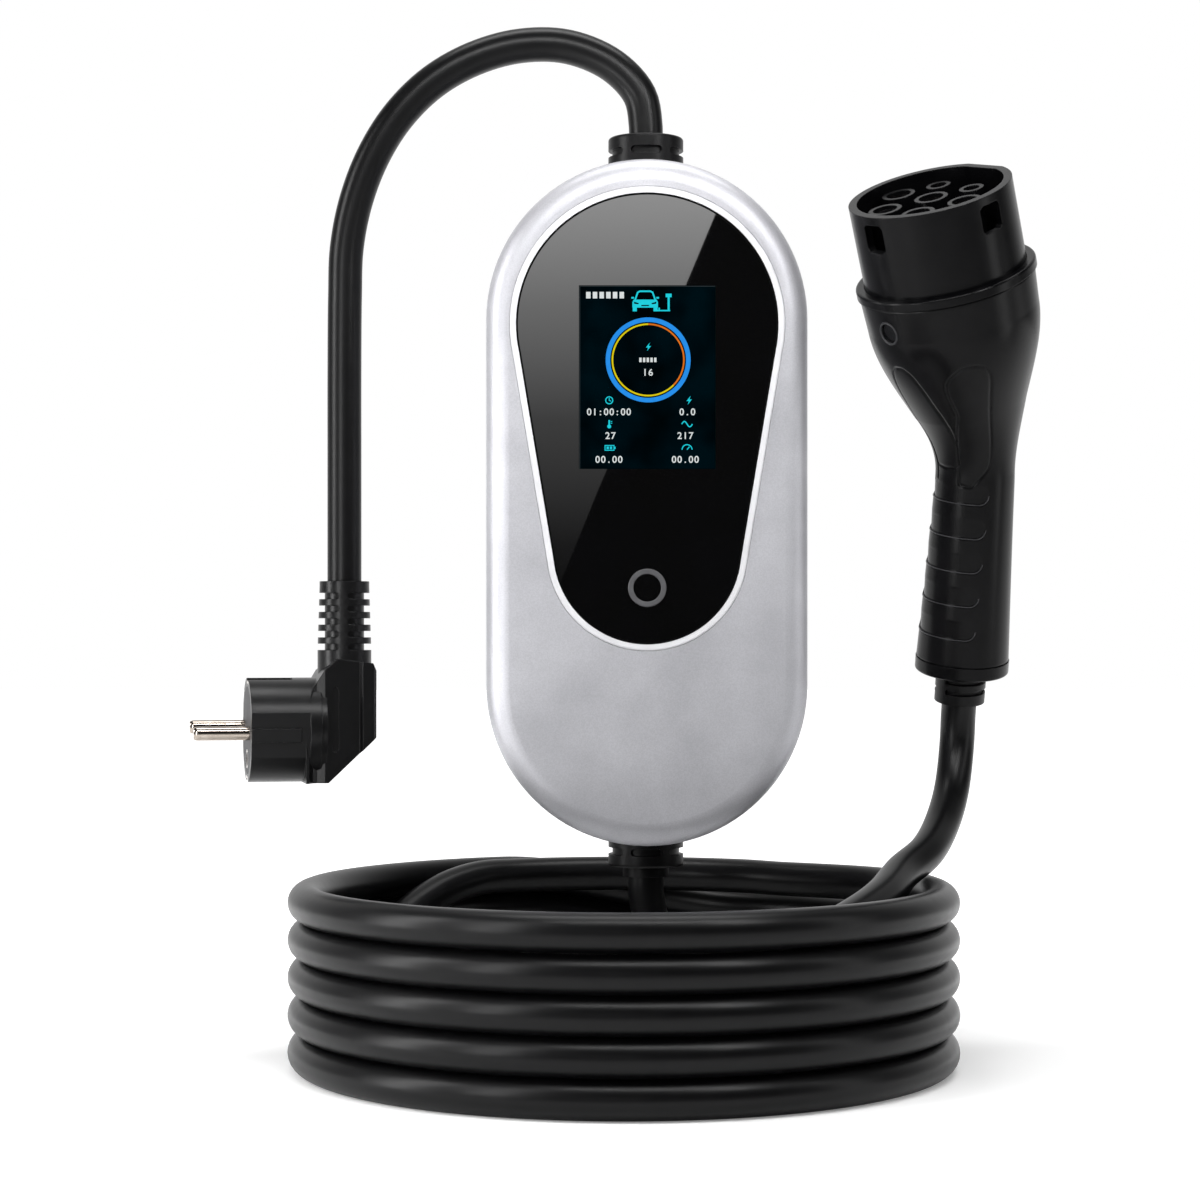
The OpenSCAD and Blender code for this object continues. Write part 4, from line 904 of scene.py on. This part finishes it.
def recess_tree():
    """Nodes that set two crossed arms on each point."""
    tree = bpy.data.node_groups.new("cross_recesses", "GeometryNodeTree")
    tree.interface.new_socket("Spots", in_out="INPUT", socket_type="NodeSocketGeometry")
    for name, value in RECESS.items():
        tree.interface.new_socket(name, in_out="INPUT", socket_type="NodeSocketFloat").default_value = value
    tree.interface.new_socket("Recesses", in_out="OUTPUT", socket_type="NodeSocketGeometry")
    given = put(tree, "NodeGroupInput").outputs
    cross = put(tree, "GeometryNodeJoinGeometry")
    for wide, high in (("Arm Length", "Arm Width"), ("Arm Width", "Arm Length")):
        size = put(tree, "ShaderNodeCombineXYZ", {"X": given[wide], "Y": given["Depth"], "Z": given[high]})
        arm = put(tree, "GeometryNodeMeshCube", {"Size": size.outputs[0]})
        tree.links.new(arm.outputs["Mesh"], cross.inputs[0])
    placed = put(tree, "GeometryNodeInstanceOnPoints",
                 {"Points": given["Spots"], "Instance": cross.outputs[0]})
    plain = put(tree, "GeometryNodeRealizeInstances", {"Geometry": placed.outputs[0]})
    dressed = put(tree, "GeometryNodeSetMaterial", {"Geometry": plain.outputs[0], "Material": CAP})
    put(tree, "NodeGroupOutput", {"Recesses": dressed.outputs[0]})
    return tree


def screw_recesses():
    points = bpy.data.meshes.new("screw_recesses")
    points.from_pydata(head_spots(nodes["case_screws"]), [], [])
    piece = linked("screw_recesses", points)
    repeat = piece.modifiers.new("recesses", "NODES")
    repeat.node_group = recess_tree()
    for item in repeat.node_group.interface.items_tree:
        if item.name in RECESS:
            repeat[item.identifier] = RECESS[item.name]
    mesh = baked_mesh(piece)
    piece.modifiers.remove(repeat)
    piece.data = mesh
    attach(piece, "root")


screw_recesses()


# Floor, backdrop, light and the bright card that the panel mirrors
FLOOR_HALF = 6000.0
FLOOR_NEAR, FLOOR_FAR, FLOOR_GLOW = 120.0, 420.0, 0.2
MIRROR_FRONT, MIRROR_BACK, MIRROR_DIM = -150.0, 250.0, 0.05
CARD_AT = -1500.0
CARD_FOOT, CARD_TOP = 150.0, 560.0
CARD_LIGHT = 2.15
CARD_FADE = [(0.18, 0.03), (0.45, 0.15), (0.7, 0.46)]
CARD_EDGE = [(112.3, 560), (95.3, 519), (68.6, 455), (-9.7, 272), (-45, 185), (-58.6, 150)]
CARD_LEFT = -420.0
ROOM_SOFT, ROOM_DIM = 0.3, 0.012
ROOM_FRONT, ROOM_BACK = 0.1, 0.98

# Lamps: place, aim and size in millimetres, and power in watts
LAMPS = {
    "left_near": ((-210, -260, 190), (-40, 0, 150), (60, 300), 0.46),
    "right_near": ((230, -260, 440), (50, 0, 170), (60, 200), 0.62),
    "top_front": ((0, -270, 480), (8, 0, 270), (300, 60), 0.9),
    "left_strip": ((-620, -160, 300), (-60, 30, 180), (120, 620), 3.0),
    "right_strip": ((620, -160, 300), (60, 30, 180), (120, 620), 0.6),
    "top": ((20, 90, 950), (20, 60, 0), (700, 240), 3.6),
}


def flat_card(name, corners, material):
    """One flat stage piece with its corners in millimetres."""
    mesh = bpy.data.meshes.new(name)
    mesh.from_pydata([Vector(c) * MM for c in corners], [], [list(range(len(corners)))])
    mesh.materials.append(material)
    card = linked(name, mesh)
    return card


def risen(tree, value, start, end, low):
    """A number that rises smoothly from low to 1 while a value goes from start to end."""
    rise = put(tree, "ShaderNodeMapRange", {"Value": value, "From Min": start, "From Max": end, "To Min": low,
                                            "To Max": 1.0}, interpolation_type="SMOOTHSTEP")
    return rise.outputs["Result"]


def math_of(tree, operation, first, second):
    return put(tree, "ShaderNodeMath", {0: first, 1: second}, operation=operation).outputs[0]


def mirror_ray(tree, path):
    """1 for rays that mirror or pass through something, else 0."""
    return math_of(tree, "MAXIMUM", path.outputs["Is Glossy Ray"], path.outputs["Is Transmission Ray"])


def white_light(tree, kind, strength):
    return put(tree, kind, {"Color": linear("#ffffff"), "Strength": strength}).outputs[0]


def white_floor():
    """White card: lit by the lamps near the object, plain white farther away."""
    material, tree = bare_material("white_card")
    matt = put(tree, "ShaderNodeBsdfDiffuse", {"Color": linear("#f2f2f2")})
    path = put(tree, "ShaderNodeLightPath")
    place = put(tree, "ShaderNodeNewGeometry").outputs["Position"]
    far = put(tree, "ShaderNodeVectorMath", {0: place}, operation="LENGTH").outputs["Value"]
    rise = risen(tree, far, FLOOR_NEAR * MM, FLOOR_FAR * MM, FLOOR_GLOW)
    glow = white_light(tree, "ShaderNodeEmission", rise)
    both = put(tree, "ShaderNodeAddShader", {0: matt.outputs[0], 1: glow})
    depth = put(tree, "ShaderNodeSeparateXYZ", {0: place}).outputs["Y"]
    behind = risen(tree, depth, MIRROR_FRONT * MM, MIRROR_BACK * MM, MIRROR_DIM)
    mirrored = math_of(tree, "MULTIPLY", mirror_ray(tree, path), behind)
    seen = math_of(tree, "MAXIMUM", path.outputs["Is Camera Ray"], mirrored)
    mix = put(tree, "ShaderNodeMixShader", {"Fac": seen, 1: matt.outputs[0], 2: both.outputs[0]})
    put(tree, "ShaderNodeOutputMaterial", {"Surface": mix.outputs[0]})
    return material


def mirrored_card():
    """Light source for the panel's reflection: bright at the top, fading downwards."""
    material, tree = bare_material("fading_light_card")
    place = put(tree, "ShaderNodeNewGeometry").outputs["Position"]
    height = put(tree, "ShaderNodeSeparateXYZ", {0: place}).outputs["Z"]
    span = {"From Min": CARD_FOOT * MM, "From Max": CARD_TOP * MM}
    level = put(tree, "ShaderNodeMapRange", {"Value": height, **span})
    ramp = put(tree, "ShaderNodeValToRGB", {"Fac": level.outputs["Result"]})
    stops = ramp.color_ramp.elements
    stops[0].position, stops[0].color = 0.0, (0.0, 0.0, 0.0, 1.0)
    stops[1].position, stops[1].color = 1.0, (1.0, 1.0, 1.0, 1.0)
    for position, value in CARD_FADE:
        stops.new(position).color = (value, value, value, 1.0)
    light = put(tree, "ShaderNodeEmission", {"Color": ramp.outputs["Color"], "Strength": CARD_LIGHT})
    put(tree, "ShaderNodeOutputMaterial", {"Surface": light.outputs[0]})
    return material


def lamp(name, place, aim, size, power):
    data = bpy.data.lights.new(name, "AREA")
    data.shape = "RECTANGLE"
    data.size, data.size_y = size[0] * MM, size[1] * MM
    data.energy = power
    light = linked(name, data)
    light.location = Vector(place) * MM
    light.rotation_euler = (Vector(aim) - Vector(place)).to_track_quat("-Z", "Y").to_euler()


def room():
    """World: white to the camera, dim in front for mirrors and white behind, soft for the rest."""
    world = bpy.data.worlds.new("studio")
    scene.world = world
    world.use_nodes = True
    tree = world.node_tree
    tree.nodes.clear()
    path = put(tree, "ShaderNodeLightPath")
    heading = put(tree, "ShaderNodeSeparateXYZ", {0: put(tree, "ShaderNodeTexCoord").outputs["Generated"]})
    behind = risen(tree, heading.outputs["Y"], ROOM_FRONT, ROOM_BACK, ROOM_DIM)
    soft, walls, white = (white_light(tree, "ShaderNodeBackground", n) for n in (ROOM_SOFT, behind, 1.0))
    bounce = put(tree, "ShaderNodeMixShader", {"Fac": mirror_ray(tree, path), 1: soft, 2: walls})
    mix = put(tree, "ShaderNodeMixShader",
              {"Fac": path.outputs["Is Camera Ray"], 1: bounce.outputs[0], 2: white})
    put(tree, "ShaderNodeOutputWorld", {"Surface": mix.outputs[0]})


def studio():
    far = FLOOR_HALF
    flat_card("floor", [(-far, -far, 0), (far, -far, 0), (far, far, 0), (-far, far, 0)], white_floor())
    edge = CARD_EDGE + [(CARD_LEFT, CARD_FOOT), (CARD_LEFT, CARD_TOP)]
    card = flat_card("panel_light_card", [(x, CARD_AT, z) for x, z in edge], mirrored_card())
    card.visible_camera = False
    card.visible_diffuse = False
    card.visible_shadow = False
    room()
    for name, settings in LAMPS.items():
        lamp(name, *settings)


studio()
